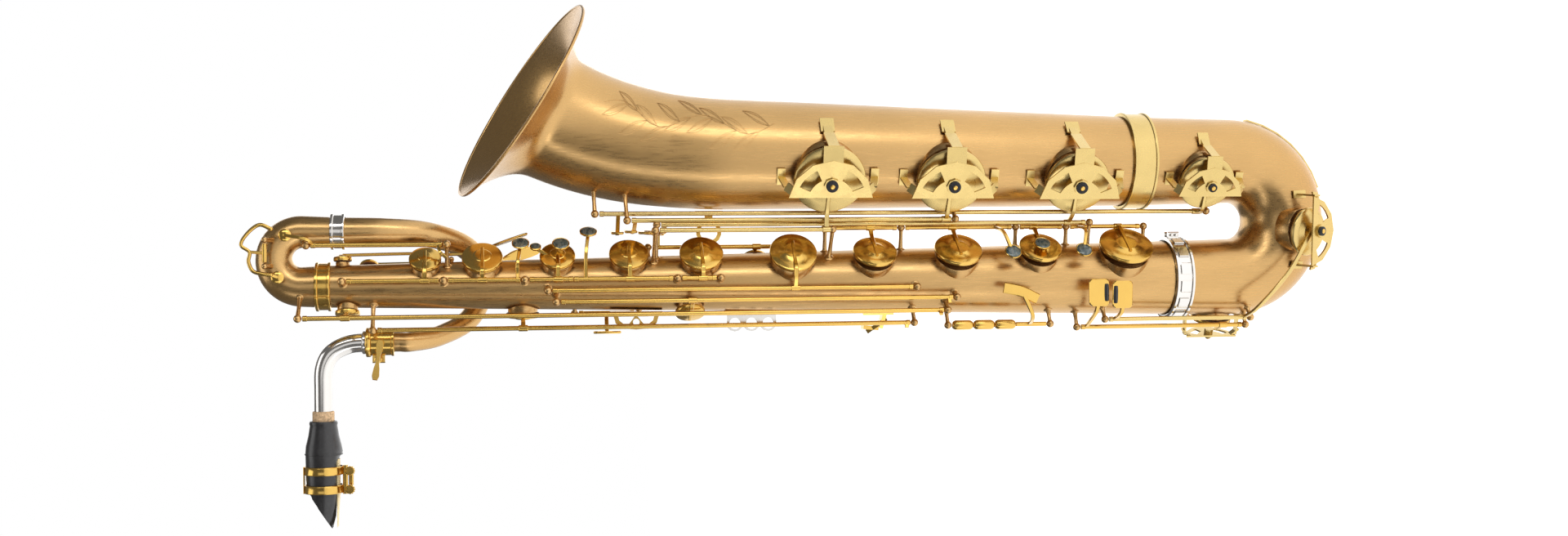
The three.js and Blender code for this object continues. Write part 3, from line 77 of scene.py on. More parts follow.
LINES = {  # x, y, heights of the posts
    "upperStack": (5, -37, (864, 768, 690, 541, 498)),
    "lowerStack": (54, -9, (388, 309, 188, 134, 50)),
    "gKey": (-6, -41, (668, 300)),
    "sideLow": (-17, -41, (660, 259)),
    "sideMid": (-30, -38.5, (905, 268)),
    "sideHigh": (-42.5, -26.5, (836, 300)),
    "touches": (-46, -22, (264, 156)),
    "lowC": (-42, -30, (100, -58)),
    "lowEflat": (-50, -17, (126, -58)),
    "gSharp": (36, 14, (566, 430)),
    "lowAThumb": (-30, 26, (640, 575)),
    "octave": (40, -26, (898, 765)),
    "lowA": (52, -41, (563, 386)),
    "lowBflat": (62, -33, (590, 258)),
    "lowB": (58, -22, (560, 113)),
    "lowCsharp": (69, -21, (621, -14)),
}
BODY_HOLES = {  # z, turn, cup radius
    "high": (786, 36, 15.6), "c": (731, 36, 20), "b": (658, 36, 17.6), "bis": (588, 36, 19.7),
    "a": (516, 38, 22), "g": (424, 42, 24), "fsharp": (341, 46, 22.5), "f": (255, 46, 24.6),
    "e": (169, 46, 22), "d": (78, 46, 28), "sideC": (527, 150, 15), "sideBflat": (692, 185, 17),
    "highE": (861, 165, 12), "gSharp": (455, -60, 17), "one": (866, -6, 9), "two": (842, -48, 10),
    "three": (815, -88, 11),
}
BELL_HOLES = {"lowA": (392, 36), "lowBflat": (268, 35), "lowB": (136, 33)}  # z, cup radius
BELL_LINES = ("lowBflat", "lowCsharp")    # hinge lines whose posts stand on the bell
PALM = {  # height of the hinge, height and distance of the leaf
    "one": (774, 706, 44), "two": (762, 692, 46), "three": (744, 674, 44),
}

# ---------------------------------------------------------------- small geometry


def at(x, y, z):
    return Vector((x, y, z))


def mix(a, b, share):
    return a + (b - a) * share


def around(degrees):
    return at(math.cos(math.radians(degrees)), -math.sin(math.radians(degrees)), 0)


def turns_of(sides):
    return [2 * math.pi * i / sides for i in range(sides)]


def top_bend(degrees):
    """Point of the upper bow's centreline."""
    turn = math.radians(degrees)
    return at(TOP_BEND_R * (1 - math.cos(turn)), 0, TOP_BEND_Z + TOP_BEND_R * math.sin(turn))


def body_radius(z):
    return mix(BODY_FOOT_R, BODY_TOP_R, (z - BODY_FOOT_Z) / (BODY_TOP_Z - BODY_FOOT_Z))


def bell_along(z):
    return (z - BELL_JOINT_Z) / (BELL_THROAT_Z - BELL_JOINT_Z)


def bell_radius(z):
    return mix(BELL_JOINT_R, BELL_THROAT_R, bell_along(z))


def bell_axis(z):
    return at(mix(2 * BOW_BEND_R, BELL_THROAT_X, min(1, bell_along(z))), 0, z)


def on_line(name, z):
    return at(LINES[name][0], LINES[name][1], z)


def on_body(turn, distance, z):
    return around(turn) * distance + at(0, 0, z)


def hole_on_body(name):
    z, turn, cup = BODY_HOLES[name]
    return {"base": at(0, 0, z), "out": around(turn), "tube": body_radius(z), "cup": cup}


def hole_on_bell(name):
    z, cup = BELL_HOLES[name]
    return {"base": bell_axis(z), "out": around(BELL_HOLE_TURN), "tube": bell_radius(z), "cup": cup}


LOW_CSHARP = {"base": at(2 * BOW_BEND_R, 0, -3), "out": around(BELL_HOLE_TURN), "tube": 45.5, "cup": 29}
LOW_C = {
    "base": at(0.86 * BOW_BEND_R, 0, BOW_BEND_Z - 0.66 * BOW_BEND_R),
    "out": at(-0.08, -0.89, -0.45).normalized(), "tube": 49, "cup": 25,
}
LOW_EFLAT = {"base": at(0, 0, -33), "out": around(200), "tube": BODY_FOOT_R + 1, "cup": 21}


def chimney_top(hole):
    return hole["tube"] + CHIMNEY_RISE


def point_on(hole, distance):
    return hole["base"] + hole["out"] * distance


def cup_top(hole):
    return chimney_top(hole) + PAD_CLOSED_GAP + CUP_DEPTH + CUP_DOME


def square_to(axis, hint=None):
    """Two directions square to an axis and to each other."""
    z = axis.normalized()
    hint = hint or (at(1, 0, 0) if abs(z.z) > 0.9 else at(0, 0, 1))
    y = z.cross(hint).normalized()
    return y.cross(z), y


def smooth_path(points, steps):
    """Points along a Catmull-Rom curve through some points."""
    ends = [points[0] * 2 - points[1]] + list(points) + [points[-1] * 2 - points[-2]]
    made = []
    for p0, p1, p2, p3 in zip(ends, ends[1:], ends[2:], ends[3:]):
        for step in range(steps):
            t = step / steps
            made.append(0.5 * (2 * p1 + (p2 - p0) * t + (2 * p0 - 5 * p1 + 4 * p2 - p3) * t * t
                               + (3 * p1 - p0 - 3 * p2 + p3) * t * t * t))
    return made + [points[-1]]


def tangents(points):
    last = len(points) - 1
    return [(points[min(i + 1, last)] - points[max(i - 1, 0)]).normalized() for i in range(last + 1)]


def shares(points):
    """Length so far at each point, as a share of the whole."""
    total, so_far = 0, [0]
    for a, b in zip(points, points[1:]):
        total += (b - a).length
        so_far.append(total)
    return [s / total for s in so_far]


def added(name, data):
    """New object in the scene."""
    made = bpy.data.objects.new(name, data)
    bpy.context.scene.collection.objects.link(made)
    return made


class Build:
    """Collects faces in millimetres, then becomes one piece."""

    def __init__(self):
        self.bm = bmesh.new()

    def rings(self, rings, closed=False, cap=False):
        rows = [[self.bm.verts.new(p) for p in ring] for ring in rings]
        pairs = list(zip(rows, rows[1:])) + ([(rows[-1], rows[0])] if closed else [])
        for low, high in pairs:
            count = len(low)
            for i in range(count):
                j = (i + 1) % count
                self.bm.faces.new((low[i], low[j], high[j], high[i]))
        if cap:
            self.bm.faces.new(rows[0][::-1])
            self.bm.faces.new(rows[-1])

    def lathe(self, profile, place, axis, sides=32, closed=False):
        """Profile of (radius, height); a radius of 0 is given as a tiny one and capped."""
        x, y = square_to(axis)
        z = axis.normalized()
        rings = [[place + z * h + x * (max(r, 0.02) * math.cos(a)) + y * (max(r, 0.02) * math.sin(a))
                  for a in turns_of(sides)] for r, h in profile]
        self.rings(rings, closed=closed, cap=not closed)

    def rod(self, a, b, radius=ROD_R, sides=18, end=0.4):
        length = (b - a).length
        profile = [(radius - end, 0), (radius, end), (radius, length - end), (radius - end, length)]
        self.lathe(profile, a, b - a, sides)

    def cone(self, a, b, radius_a, radius_b, sides=20):
        self.lathe([(radius_a, 0), (radius_b, (b - a).length)], a, b - a, sides)

    def ball(self, centre, radius, sides=20):
        angles = [math.pi * i / 12 for i in range(13)]
        profile = [(radius * math.sin(a), -radius * math.cos(a)) for a in angles]
        self.lathe(profile, centre, at(0, 0, 1), sides)

    def sweep(self, points, radius_at, sides=24, wall=0):
        """Round tube along points; with a wall it is hollow and open at both ends."""
        along = tangents(points)
        part = shares(points)
        side, _ = square_to(along[0])
        frames = []
        for way in along:
            side = (side - way * side.dot(way)).normalized()
            frames.append((side, way.cross(side)))

        def ring(index, inset):
            x, y = frames[index]
            radius = radius_at(part[index]) - inset
            return [points[index] + x * (radius * math.cos(a)) + y * (radius * math.sin(a))
                    for a in turns_of(sides)]

        outer = [ring(i, 0) for i in range(len(points))]
        if wall:
            inner = [ring(i, wall) for i in reversed(range(len(points)))]
            self.rings(outer + inner, closed=True)
        else:
            self.rings(outer, cap=True)

    def strip(self, points, face, width, thick, taper=1.0, steps=5, edge=0.45):
        """Bar with rounded edges along a smooth path; face is the direction of its width."""
        path = smooth_path(points, steps) if len(points) > 2 else list(points)
        along = tangents(path)
        part = shares(path)
        rings = []
        for point, way, share in zip(path, along, part):
            x = (face - way * face.dot(way)).normalized()
            y = way.cross(x)
            w = width / 2 * mix(1, taper, share)
            t = thick / 2 * mix(1, taper, share)
            e = min(edge, w * 0.8, t * 0.8)
            outline = [(w - e, -t), (w, -t + e), (w, t - e), (w - e, t),
                       (-w + e, t), (-w, t - e), (-w, -t + e), (-w + e, -t)]
            rings.append([point + x * u + y * v for u, v in outline])
        self.rings(rings, cap=True)

    def slab(self, outline, thick, place, normal, along, edge=0.5):
        """Flat plate with softened edges from an outline of (u, v) points."""
        z = normal.normalized()
        x = (along - z * along.dot(z)).normalized()
        y = z.cross(x)
        count = len(outline)
        middle_u = sum(p[0] for p in outline) / count
        middle_v = sum(p[1] for p in outline) / count

        def level(height, inset):
            ring = []
            for u, v in outline:
                du, dv = u - middle_u, v - middle_v
                size = max(math.hypot(du, dv), 0.01)
                k = (size - inset) / size
                ring.append(place + x * (middle_u + du * k) + y * (middle_v + dv * k) + z * height)
            return ring

        half = thick / 2
        levels = ((-half, edge), (-half + edge, 0), (half - edge, 0), (half, edge))
        self.rings([level(height, inset) for height, inset in levels], cap=True)

    def mesh(self, name):
        """Mesh in metres in the frame of the whole instrument."""
        bmesh.ops.translate(self.bm, vec=SHIFT, verts=self.bm.verts)
        bmesh.ops.scale(self.bm, vec=Vector((0.001,) * 3), verts=self.bm.verts)
        mesh = bpy.data.meshes.new(name)
        self.bm.to_mesh(mesh)
        self.bm.free()
        return mesh

    def piece(self, name, body, slot, material, replaces=(), swing=None, sharp=32):
        """Places what was collected; swing is (hinge point, degrees about +Z)."""
        bmesh.ops.recalc_face_normals(self.bm, faces=self.bm.faces)
        if swing:
            hinge, degrees = swing
            turn = (Matrix.Translation(hinge) @ Matrix.Rotation(math.radians(degrees), 4, "Z")
                    @ Matrix.Translation(-hinge))
            bmesh.ops.transform(self.bm, matrix=turn, verts=self.bm.verts)
        mesh = self.mesh(name)
        mesh.polygons.foreach_set("use_smooth", [True] * len(mesh.polygons))
        mesh.set_sharp_from_angle(angle=math.radians(sharp))
        mesh.materials.append(material)
        obj = added(name, mesh)
        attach(obj, body)
        if replaces:
            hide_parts(*replaces)


# ---------------------------------------------------------------- materials


class Nodes:
    """One procedural material on a Principled shader."""

    def __init__(self, name, **constants):
        self.material = bpy.data.materials.new(name)
        self.material.use_nodes = True
        self.tree = self.material.node_tree
        self.shader = self.tree.nodes["Principled BSDF"]
        for socket, value in constants.items():
            self.shader.inputs[socket.replace("_", " ")].default_value = value
        self.place = self.node("ShaderNodeTexCoord").outputs["Object"]

    def node(self, kind, **values):
        made = self.tree.nodes.new(kind)
        for key, value in values.items():
            setattr(made, key, value)
        return made

    def link(self, source, target):
        self.tree.links.new(source, target)

    def noise(self, scale, stretch=(1, 1, 1), detail=4.0):
        mapping = self.node("ShaderNodeMapping")
        mapping.inputs["Scale"].default_value = stretch
        self.link(self.place, mapping.inputs["Vector"])
        noise = self.node("ShaderNodeTexNoise")
        noise.inputs["Scale"].default_value = scale
        noise.inputs["Detail"].default_value = detail
        self.link(mapping.outputs["Vector"], noise.inputs["Vector"])
        return noise.outputs["Fac"]

    def ramp(self, source, stops):
        ramp = self.node("ShaderNodeValToRGB")
        ramp.color_ramp.elements[0].position, ramp.color_ramp.elements[0].color = stops[0]
        ramp.color_ramp.elements[1].position, ramp.color_ramp.elements[1].color = stops[-1]
        for position, colour in stops[1:-1]:
            ramp.color_ramp.elements.new(position).color = colour
        self.link(source, ramp.inputs["Fac"])
        return ramp.outputs["Color"]

    def span(self, source, low, high):
        spread = self.node("ShaderNodeMapRange")
        spread.inputs["From Min"].default_value = 0.3
        spread.inputs["From Max"].default_value = 0.7
        spread.inputs["To Min"].default_value = low
        spread.inputs["To Max"].default_value = high
        self.link(source, spread.inputs["Value"])
        return spread.outputs["Result"]

    def bump(self, source, strength, distance):
        bump = self.node("ShaderNodeBump")
        bump.inputs["Strength"].default_value = strength
        bump.inputs["Distance"].default_value = distance
        self.link(source, bump.inputs["Height"])
        self.link(bump.outputs["Normal"], self.shader.inputs["Normal"])


def shade(colour, factor):
    return tuple(min(1, c * factor) for c in colour) + (1,)


def metal(name, colour, rough, variation=0.08, brushed=0.0, coat=0.0, stretch=(1, 1, 1)):
    """Lacquered or plated metal: slow tone drift, fine smears in its gloss, and a brushed grain."""
    made = Nodes(name, Metallic=1.0, Coat_Weight=coat, Coat_Roughness=0.12)
    drift = made.noise(14, detail=3)
    made.link(made.ramp(drift, [(0.3, shade(colour, 1 - variation)), (0.5, shade(colour, 1)),
                                (0.7, shade(colour, 1 + variation))]), made.shader.inputs["Base Color"])
    smear = made.noise(90, stretch, 5)
    made.link(made.span(smear, rough * 0.8, rough * 1.25), made.shader.inputs["Roughness"])
    made.bump(made.noise(700, stretch, 2), 0.04 + brushed, 0.00002)
    return made.material


def dull(name, colour, rough, variation, scale, bump, stretch=(1, 1, 1), sheen=0.0, coat=0.0):
    """Cork, cane, leather, felt or hard rubber."""
    made = Nodes(name, Metallic=0.0, Sheen_Weight=sheen, Coat_Weight=coat, Coat_Roughness=0.2)
    grain = made.noise(scale, stretch, 6)
    made.link(made.ramp(grain, [(0.3, shade(colour, 1 - variation)), (0.7, shade(colour, 1 + variation))]),
              made.shader.inputs["Base Color"])
    made.link(made.span(made.noise(scale * 0.4), rough * 0.85, min(1, rough * 1.15)),
              made.shader.inputs["Roughness"])
    made.bump(grain, bump, 0.0003)
    return made.material


ALONG = (6, 6, 0.6)
ROSE = metal("rose_lacquer", (0.56, 0.345, 0.135), 0.29, 0.05, 0.0, 0.15, ALONG)
GOLD = metal("gold_lacquer", (0.70, 0.44, 0.10), 0.19, 0.06, 0.0, 0.3)
PALE = metal("pale_brass", (0.66, 0.49, 0.19), 0.27, 0.05, 0.02, 0.1)
SILVER = metal("silver_plate", (0.72, 0.70, 0.67), 0.15, 0.05, 0.0, 0.0)
BLACK = dull("black_hard_rubber", (0.018, 0.017, 0.018), 0.33, 0.25, 300, 0.05, coat=0.25)
CORK = dull("cork", (0.62, 0.42, 0.24), 0.85, 0.35, 500, 0.6)
CANE = dull("cane", (0.80, 0.64, 0.34), 0.5, 0.14, 500, 0.25, (0.3, 8, 8))
LEATHER = dull("pad_leather", (0.20, 0.10, 0.055), 0.6, 0.3, 400, 0.3)
FELT = dull("felt", (0.018, 0.018, 0.02), 0.95, 0.3, 1500, 0.7, sheen=0.3)
RED_FELT = dull("red_felt", (0.55, 0.09, 0.02), 0.95, 0.25, 1500, 0.7, sheen=0.3)


def pearl():
    made = Nodes("dark_pearl", Metallic=0.25, Roughness=0.14, Coat_Weight=0.6, Coat_Roughness=0.05)
    cloud = made.noise(160, (1, 1, 2.2), 5)
    made.link(made.ramp(cloud, [(0.3, (0.02, 0.035, 0.04, 1)), (0.48, (0.07, 0.10, 0.10, 1)),
                                (0.6, (0.16, 0.17, 0.15, 1)), (0.72, (0.05, 0.07, 0.09, 1))]),
              made.shader.inputs["Base Color"])
    made.bump(cloud, 0.1, 0.0001)
    return made.material


PEARL = pearl()
LOOKS = {"rose_lacquer": ROSE, "gold_lacquer": GOLD, "pale_brass": PALE, "silver_plate": SILVER,
         "black_hard_rubber": BLACK, "cork": CORK, "cane": CANE, "pad_leather": LEATHER, "felt": FELT,
         "red_felt": RED_FELT, "dark_pearl": PEARL}


def shown(build, name, body, slot, replaces=(), swing=None, sharp=32):
    build.piece(name, body, slot, LOOKS[slot], replaces, swing, sharp)


# ---------------------------------------------------------------- posts and chimneys


def post(build, head, foot):
    """Ball post on a round flange."""
    out = (head - foot).normalized()
    start = foot - out * 0.4
    reach = (head - start).length
    build.lathe([(4.6, 0), (4.6, 1.0), (4.2, 1.4), (2.9, 1.8), (2.3, 3.0), (1.9, reach * 0.55),
                 (2.2, reach - 3)], start, out, 20)
    build.ball(head, POST_BALL_R, 20)


def standing(build, head, axis_point, radius):
    post(build, head, axis_point + (head - axis_point).normalized() * radius)


def chimney(build, hole):
    """Tone hole chimney with a rounded lip, standing on its tube."""
    top = chimney_top(hole)
    outer = hole["cup"] - CUP_OVERHANG
    inner = outer - CHIMNEY_WALL
    low = hole["tube"] * 0.72
    profile = [(outer, low), (outer, top - 0.6), (outer - 0.3, top - 0.1), (outer - 0.75, top),
               (inner + 0.3, top - 0.1), (inner, top - 0.6), (inner, low)]
    build.lathe(profile, hole["base"], hole["out"], 48, closed=True)


# ---------------------------------------------------------------- tubes


def body_tube():
    build = Build()
    zs = [BODY_FOOT_Z + GAP, 120, 240, 360, 480, 600, 720, BODY_TOP_Z - GAP]
    build.lathe([(body_radius(z), z) for z in zs] + [(body_radius(z) - TUBE_WALL, z) for z in reversed(zs)],
                at(0, 0, 0), at(0, 0, 1), 72, closed=True)
    for name, (x, y, heights) in LINES.items():
        if name not in BELL_LINES:
            for z in heights:
                if BODY_FOOT_Z + 12 < z < BODY_TOP_Z - 8:
                    standing(build, at(x, y, z), at(0, 0, z), body_radius(z) - 0.4)
    for name in BODY_HOLES:
        chimney(build, hole_on_body(name))
    for name in PALM:
        centre, out, axis, _ = palm_hinge(name)
        for side in (-1, 1):
            head = centre + axis * (side * PALM_POST_OFFSET)
            build.cone(head - out * (PALM_RISE + 1.2), head, 2.6, 1.9)
            build.ball(head, SMALL_BALL_R)
    base = -body_radius(STRAP_Z) - 0.6
    ends = [at(base, 0, STRAP_Z + rise) for rise in (-STRAP_BASE_HALF, STRAP_BASE_HALF)]
    build.strip(ends, at(0, 1, 0), 12, 3.6, edge=1.2)
    shown(build, "body_tube_fine", "root", "rose_lacquer", ["body_tube"])


def bow_path():
    bend = [at(BOW_BEND_R - BOW_BEND_R * math.cos(math.radians(d)), 0,
               BOW_BEND_Z - BOW_BEND_R * math.sin(math.radians(d))) for d in range(0, 181, 5)]
    return ([at(0, 0, BODY_FOOT_Z - GAP), at(0, 0, -15)] + bend
            + [at(2 * BOW_BEND_R, 0, 8), at(2 * BOW_BEND_R, 0, BELL_JOINT_Z - GAP)])


def bow():
    build = Build()
    build.sweep(bow_path(), lambda s: mix(BODY_FOOT_R, BELL_JOINT_R, s), 72, TUBE_WALL)
    standing(build, on_line("lowC", -58), at(0, 0, -58), BODY_FOOT_R)
    standing(build, on_line("lowEflat", -58), at(0, 0, -58), BODY_FOOT_R)
    standing(build, on_line("lowCsharp", -14), at(2 * BOW_BEND_R, 0, -14), BELL_JOINT_R - 1)
    for hole in (LOW_CSHARP, LOW_C, LOW_EFLAT):
        chimney(build, hole)
    shown(build, "bow_fine", "root", "rose_lacquer", ["bow"])


def bell_path():
    lean = at(math.sin(math.radians(BELL_LEAN)), -math.sin(math.radians(BELL_TURN)),
              math.cos(math.radians(BELL_LEAN))).normalized()
    foot = at(2 * BOW_BEND_R, 0, BELL_JOINT_Z + GAP)
    start = bell_axis(BELL_BEND_Z)
    up = (start - foot).normalized()
    p1, p2 = start + up * BELL_BEND_EASE, BELL_RIM - lean * BELL_BEND_EASE
    straight = [foot.lerp(start, i / 16) for i in range(16)]
    bend = []
    for i in range(61):
        t = 1 - (1 - i / 60) ** 1.4
        bend.append(start * (1 - t) ** 3 + p1 * 3 * t * (1 - t) ** 2 + p2 * 3 * t * t * (1 - t)
                    + BELL_RIM * t ** 3)
    return straight + bend


def bell_length():
    path = bell_path()
    return sum((b - a).length for a, b in zip(path, path[1:]))


def bell_radius_at(share):
    """Radius of the bell: a slow cone, then the flare."""
    run, left = BELL_LENGTH * share, BELL_LENGTH * (1 - share)
    height = BELL_JOINT_Z + min(run, BELL_THROAT_Z - BELL_JOINT_Z)
    stem = bell_radius(height) + max(0, (run - BELL_STRAIGHT) * 0.05)
    flare = ((BELL_FLARE - left) / BELL_FLARE) ** 2.2 * (BELL_RIM_R - stem) if left < BELL_FLARE else 0
    return stem + flare


BELL_LENGTH = bell_length()


def bell():
    build = Build()
    path = bell_path()
    build.sweep(path, bell_radius_at, 96, TUBE_WALL)
    part = shares(path)
    for name in BELL_LINES:
        for z in LINES[name][2]:
            if z > BELL_JOINT_Z + 12:
                index = next(i for i, p in enumerate(path) if p.z >= z)
                standing(build, on_line(name, z), path[index], bell_radius_at(part[index]) - 1)
    for name in BELL_HOLES:
        chimney(build, hole_on_bell(name))
    shown(build, "bell_fine", "root", "rose_lacquer", ["bell"])
    way = tangents(path)[-1]
    x, y = square_to(way)
    rim = [path[-1] - way * 1.2 + (x * math.cos(a) + y * math.sin(a)) * (BELL_RIM_R - 1.6)
           for a in turns_of(96)]
    rolled = Build()
    rings = []
    for point in rim:
        outward = (point - path[-1] + way * 1.2).normalized()
        rings.append([point + outward * (1.7 * math.cos(a)) + way * (1.7 * math.sin(a))
                      for a in turns_of(10)])
    rolled.rings(rings, closed=True)
    shown(rolled, "bell_rolled_rim", "root", "rose_lacquer", sharp=60)


def collar(node, place, radius, height, thick, slot):
    """Collar with a bead along each edge."""
    build = Build()
    bead = 1.3
    low, high = place.z - height / 2, place.z + height / 2
    inner = radius + GAP
    outer = inner + thick + 1.0
    beads = []
    for base in (low, high - 3.4):
        beads += [(outer, base), (outer + bead * 0.8, base + 0.5), (outer + bead, base + 1.7),
                  (outer + bead * 0.8, base + 2.9), (outer, base + 3.4)]
    build.lathe([(inner, low)] + beads + [(inner, high)], at(place.x, 0, 0), at(0, 0, 1), 72, closed=True)
    shown(build, f"{node}_fine", "root", slot, [node])


def upper_bow():
    bend = [top_bend(degrees) for degrees in range(0, 181, 6)]
    path = [at(0, 0, BODY_TOP_Z)] + bend + [at(2 * TOP_BEND_R, 0, PIPE_TOP_Z + GAP)]
    build = Build()
    build.sweep(path, lambda s: mix(BODY_TOP_R, PIPE_TOP_R, s), 56, TUBE_WALL)
    top = LINES["octave"][2][0]
    standing(build, on_line("octave", top), at(46, -4, top + 4), 10)
    standing(build, on_line("sideMid", 905), at(2, 0, 905), BODY_TOP_R - 1)
    for side in (-1, 1):
        head = LYRE_HINGE + at(side * 12.7, 0, 0)
        build.cone(at(head.x, -9, LYRE_HINGE.z - 7), head, 3, 2)
        build.ball(head, SMALL_BALL_R)
    for foot, tip, _ in octave_pips():
        build.cone(foot, tip, 4, 3)
    shown(build, "upper_bow_fine", "root", "rose_lacquer", ["upper_bow"])


def octave_pips():
    made = []
    for degrees, rise in ((150, 20), (50, 21)):
        centre = top_bend(degrees)
        out = at(0, -1, 0)
        made.append((centre + out * (rise - 6), centre + out * (rise + 3), out))
    return made


def return_pipe():
    points = [at(2 * TOP_BEND_R, 0, PIPE_TOP_Z - GAP), at(2 * TOP_BEND_R, 2, 826), at(50, 14, 782),
              at(35, 38, 745), at(2, 50, 731), at(-33, 40, 744), at(-50, 16, 774),
              at(RECEIVER_X, 1, 801), at(RECEIVER_X, 0, 812), at(RECEIVER_X, 0, PIPE_END_Z)]
    build = Build()
    build.sweep(smooth_path(points, 8), lambda s: mix(PIPE_TOP_R, NECK_FOOT_R, s ** 0.8), 40, TUBE_WALL)
    shown(build, "return_pipe_fine", "root", "rose_lacquer", ["return_pipe"])


def neck():
    points = [at(RECEIVER_X, 0, PIPE_END_Z + 3), at(RECEIVER_X, 0, 846), at(RECEIVER_X - 2, 0, 862),
              at(RECEIVER_X - 10, 0, 877), at(RECEIVER_X - 25, 0, NECK_RISE_Z - 1), at(-104, 0, NECK_RISE_Z),
              at(NECK_TIP_X, 0, NECK_RISE_Z)]
    build = Build()
    build.sweep(smooth_path(points, 8), lambda s: mix(NECK_FOOT_R, NECK_TIP_R, s), 40, TUBE_WALL)
    low = PIPE_END_Z - RECEIVER_SEAT + RECEIVER_HEIGHT + GAP
    ring = NECK_FOOT_R - 0.8
    rim = [(ring, low), (ring + 2.4, low), (ring + 2.8, low + 0.6), (ring + 2.8, low + 2.6),
           (ring + 2.0, low + 3.4), (ring, low + 4)]
    build.lathe(rim, at(RECEIVER_X, 0, 0), at(0, 0, 1), 40, closed=True)
    shown(build, "neck_fine", "neck_body", "silver_plate", ["neck"])
    cork = Build()
    inner = NECK_TIP_R + 1.0
    cork.lathe([(inner, 0), (9.9, 0.1), (10.5, 0.9), (10.5, 29), (10.1, 29.8), (inner, 30)],
               at(-121.5, 0, NECK_RISE_Z), at(-1, 0, 0), 40, closed=True)
    shown(cork, "neck_cork_fine", "neck_body", "cork", ["neck_cork"])


def neck_receiver():
    inner = (NECK_FOOT_R + GAP) / math.cos(math.pi / 10) + 0.2
    outer = inner + 2.4
    low = PIPE_END_Z - RECEIVER_SEAT
    high = low + RECEIVER_HEIGHT
    build = Build()
    profile = [(inner, low), (outer, low), (outer + 0.8, low + 0.5), (outer + 0.8, low + 2.4),
               (outer, low + 3), (outer, high - 5), (outer + 1.2, high - 4.4), (outer + 1.6, high - 3.4),
               (outer + 1.6, high - 0.5), (outer + 1.1, high), (inner, high)]
    build.lathe(profile, at(RECEIVER_X, 0, 0), at(0, 0, 1), 48, closed=True)
    lug = high - 12
    x = RECEIVER_X - outer - 3
    for side in (-1, 1):
        build.strip([at(x, side * 2.6, lug - 6), at(x, side * 2.6, lug + 6)], at(1, 0, 0), 8.6, 3, edge=1)
    shown(build, "neck_receiver_fine", "root", "gold_lacquer", ["neck_receiver"])
    screw = Build()
    centre = at(RECEIVER_X - inner - 2.4 - 3.5, 0, lug)
    screw.rod(centre + at(0, 8, 0), centre + at(0, -17, 0), 1.7)
    screw.rod(centre + at(0, -8, 0), centre + at(0, -16, 0), 3.6, end=0.8)
    half = [(-20, -2.2), (-16, -3.6), (-9, -3), (-4, -2), (4, -2), (9, -3), (16, -3.6), (20, -2.2)]
    wing = half + [(u, -v) for u, v in reversed(half)]
    screw.slab(wing, 2.6, centre + at(0, -17.3, 0), at(0, -1, 0), at(20, 0, -3), 0.8)
    shown(screw, "neck_screw_fine", "neck_screw_body", "gold_lacquer", ["neck_screw"])


def mouthpiece():
    """Round shank, swelling body cut away below for the reed, and a beak sloping down to the tip."""
    build = Build()
    foot = at(MOUTHPIECE_FOOT_X, 0, NECK_RISE_Z)
    stations = [(0, 12.6), (1, 13.4), (3, 13.4), (4.5, 13.0), (14, 14.6), (24, 17.0), (30, 18), (40, 17.5),
                (56, 17), (66, 16.6), (75, 15.0), (84, 13.4), (93, 11.4), (100, 9.4), (104.2, 8)]
    sides = 48
    rings = []
    for along, radius in stations:
        ring = []
        beak = 17.0 if along < 64 else mix(17.0, -8.6, ((along - 64) / 41) ** 1.02)
        table = -99 if along < 34 else -TABLE_DEPTH + (0.0 if along < 70 else (along - 70) * 0.06)
        for a in turns_of(sides):
            y, z = radius * math.cos(a), radius * math.sin(a)
            ring.append(foot + at(-along, y, max(min(z, beak), table)))
        rings.append(ring)
    bore = [[foot + at(-along, SHANK_BORE_R * math.cos(a), SHANK_BORE_R * math.sin(a))
             for a in turns_of(sides)] for along in (30, 0)]
    build.rings([*bore, *rings], cap=True)
    for along in (1.2, 31):
        radius = 13.3 if along < 5 else 18
        build.lathe([(radius - 0.6, -1), (radius + 0.1, -0.6), (radius + 0.2, 0), (radius + 0.1, 0.6),
                     (radius - 0.6, 1)], foot + at(-along - 1, 0, 0), at(-1, 0, 0), 48, closed=True)
    shown(build, "mouthpiece_fine", "mouthpiece_body", "black_hard_rubber", ["mouthpiece"], sharp=40)


def reed_piece():
    foot = at(MOUTHPIECE_FOOT_X, 0, NECK_RISE_Z)
    reed = Build()
    rings = []
    for along, thick in ((37, 2.5), (50, 2.6), (70, 2.6), (74, 2.3), (82, 1.6), (92, 0.9), (103, 0.45)):
        top = -TABLE_DEPTH - GAP
        width = 6.6 + 0.9 * min(1, (along - 37) / 50)
        crown = [(-width, 0), (width, 0), (width, -thick * 0.55), (width * 0.6, -thick * 0.95), (0, -thick),
                 (-width * 0.6, -thick * 0.95), (-width, -thick * 0.55)]
        rings.append([foot + at(-along, u, top + v) for u, v in crown])
    reed.rings(rings, cap=True)
    shown(reed, "reed_fine", "mouthpiece_body", "cane", ["reed"])


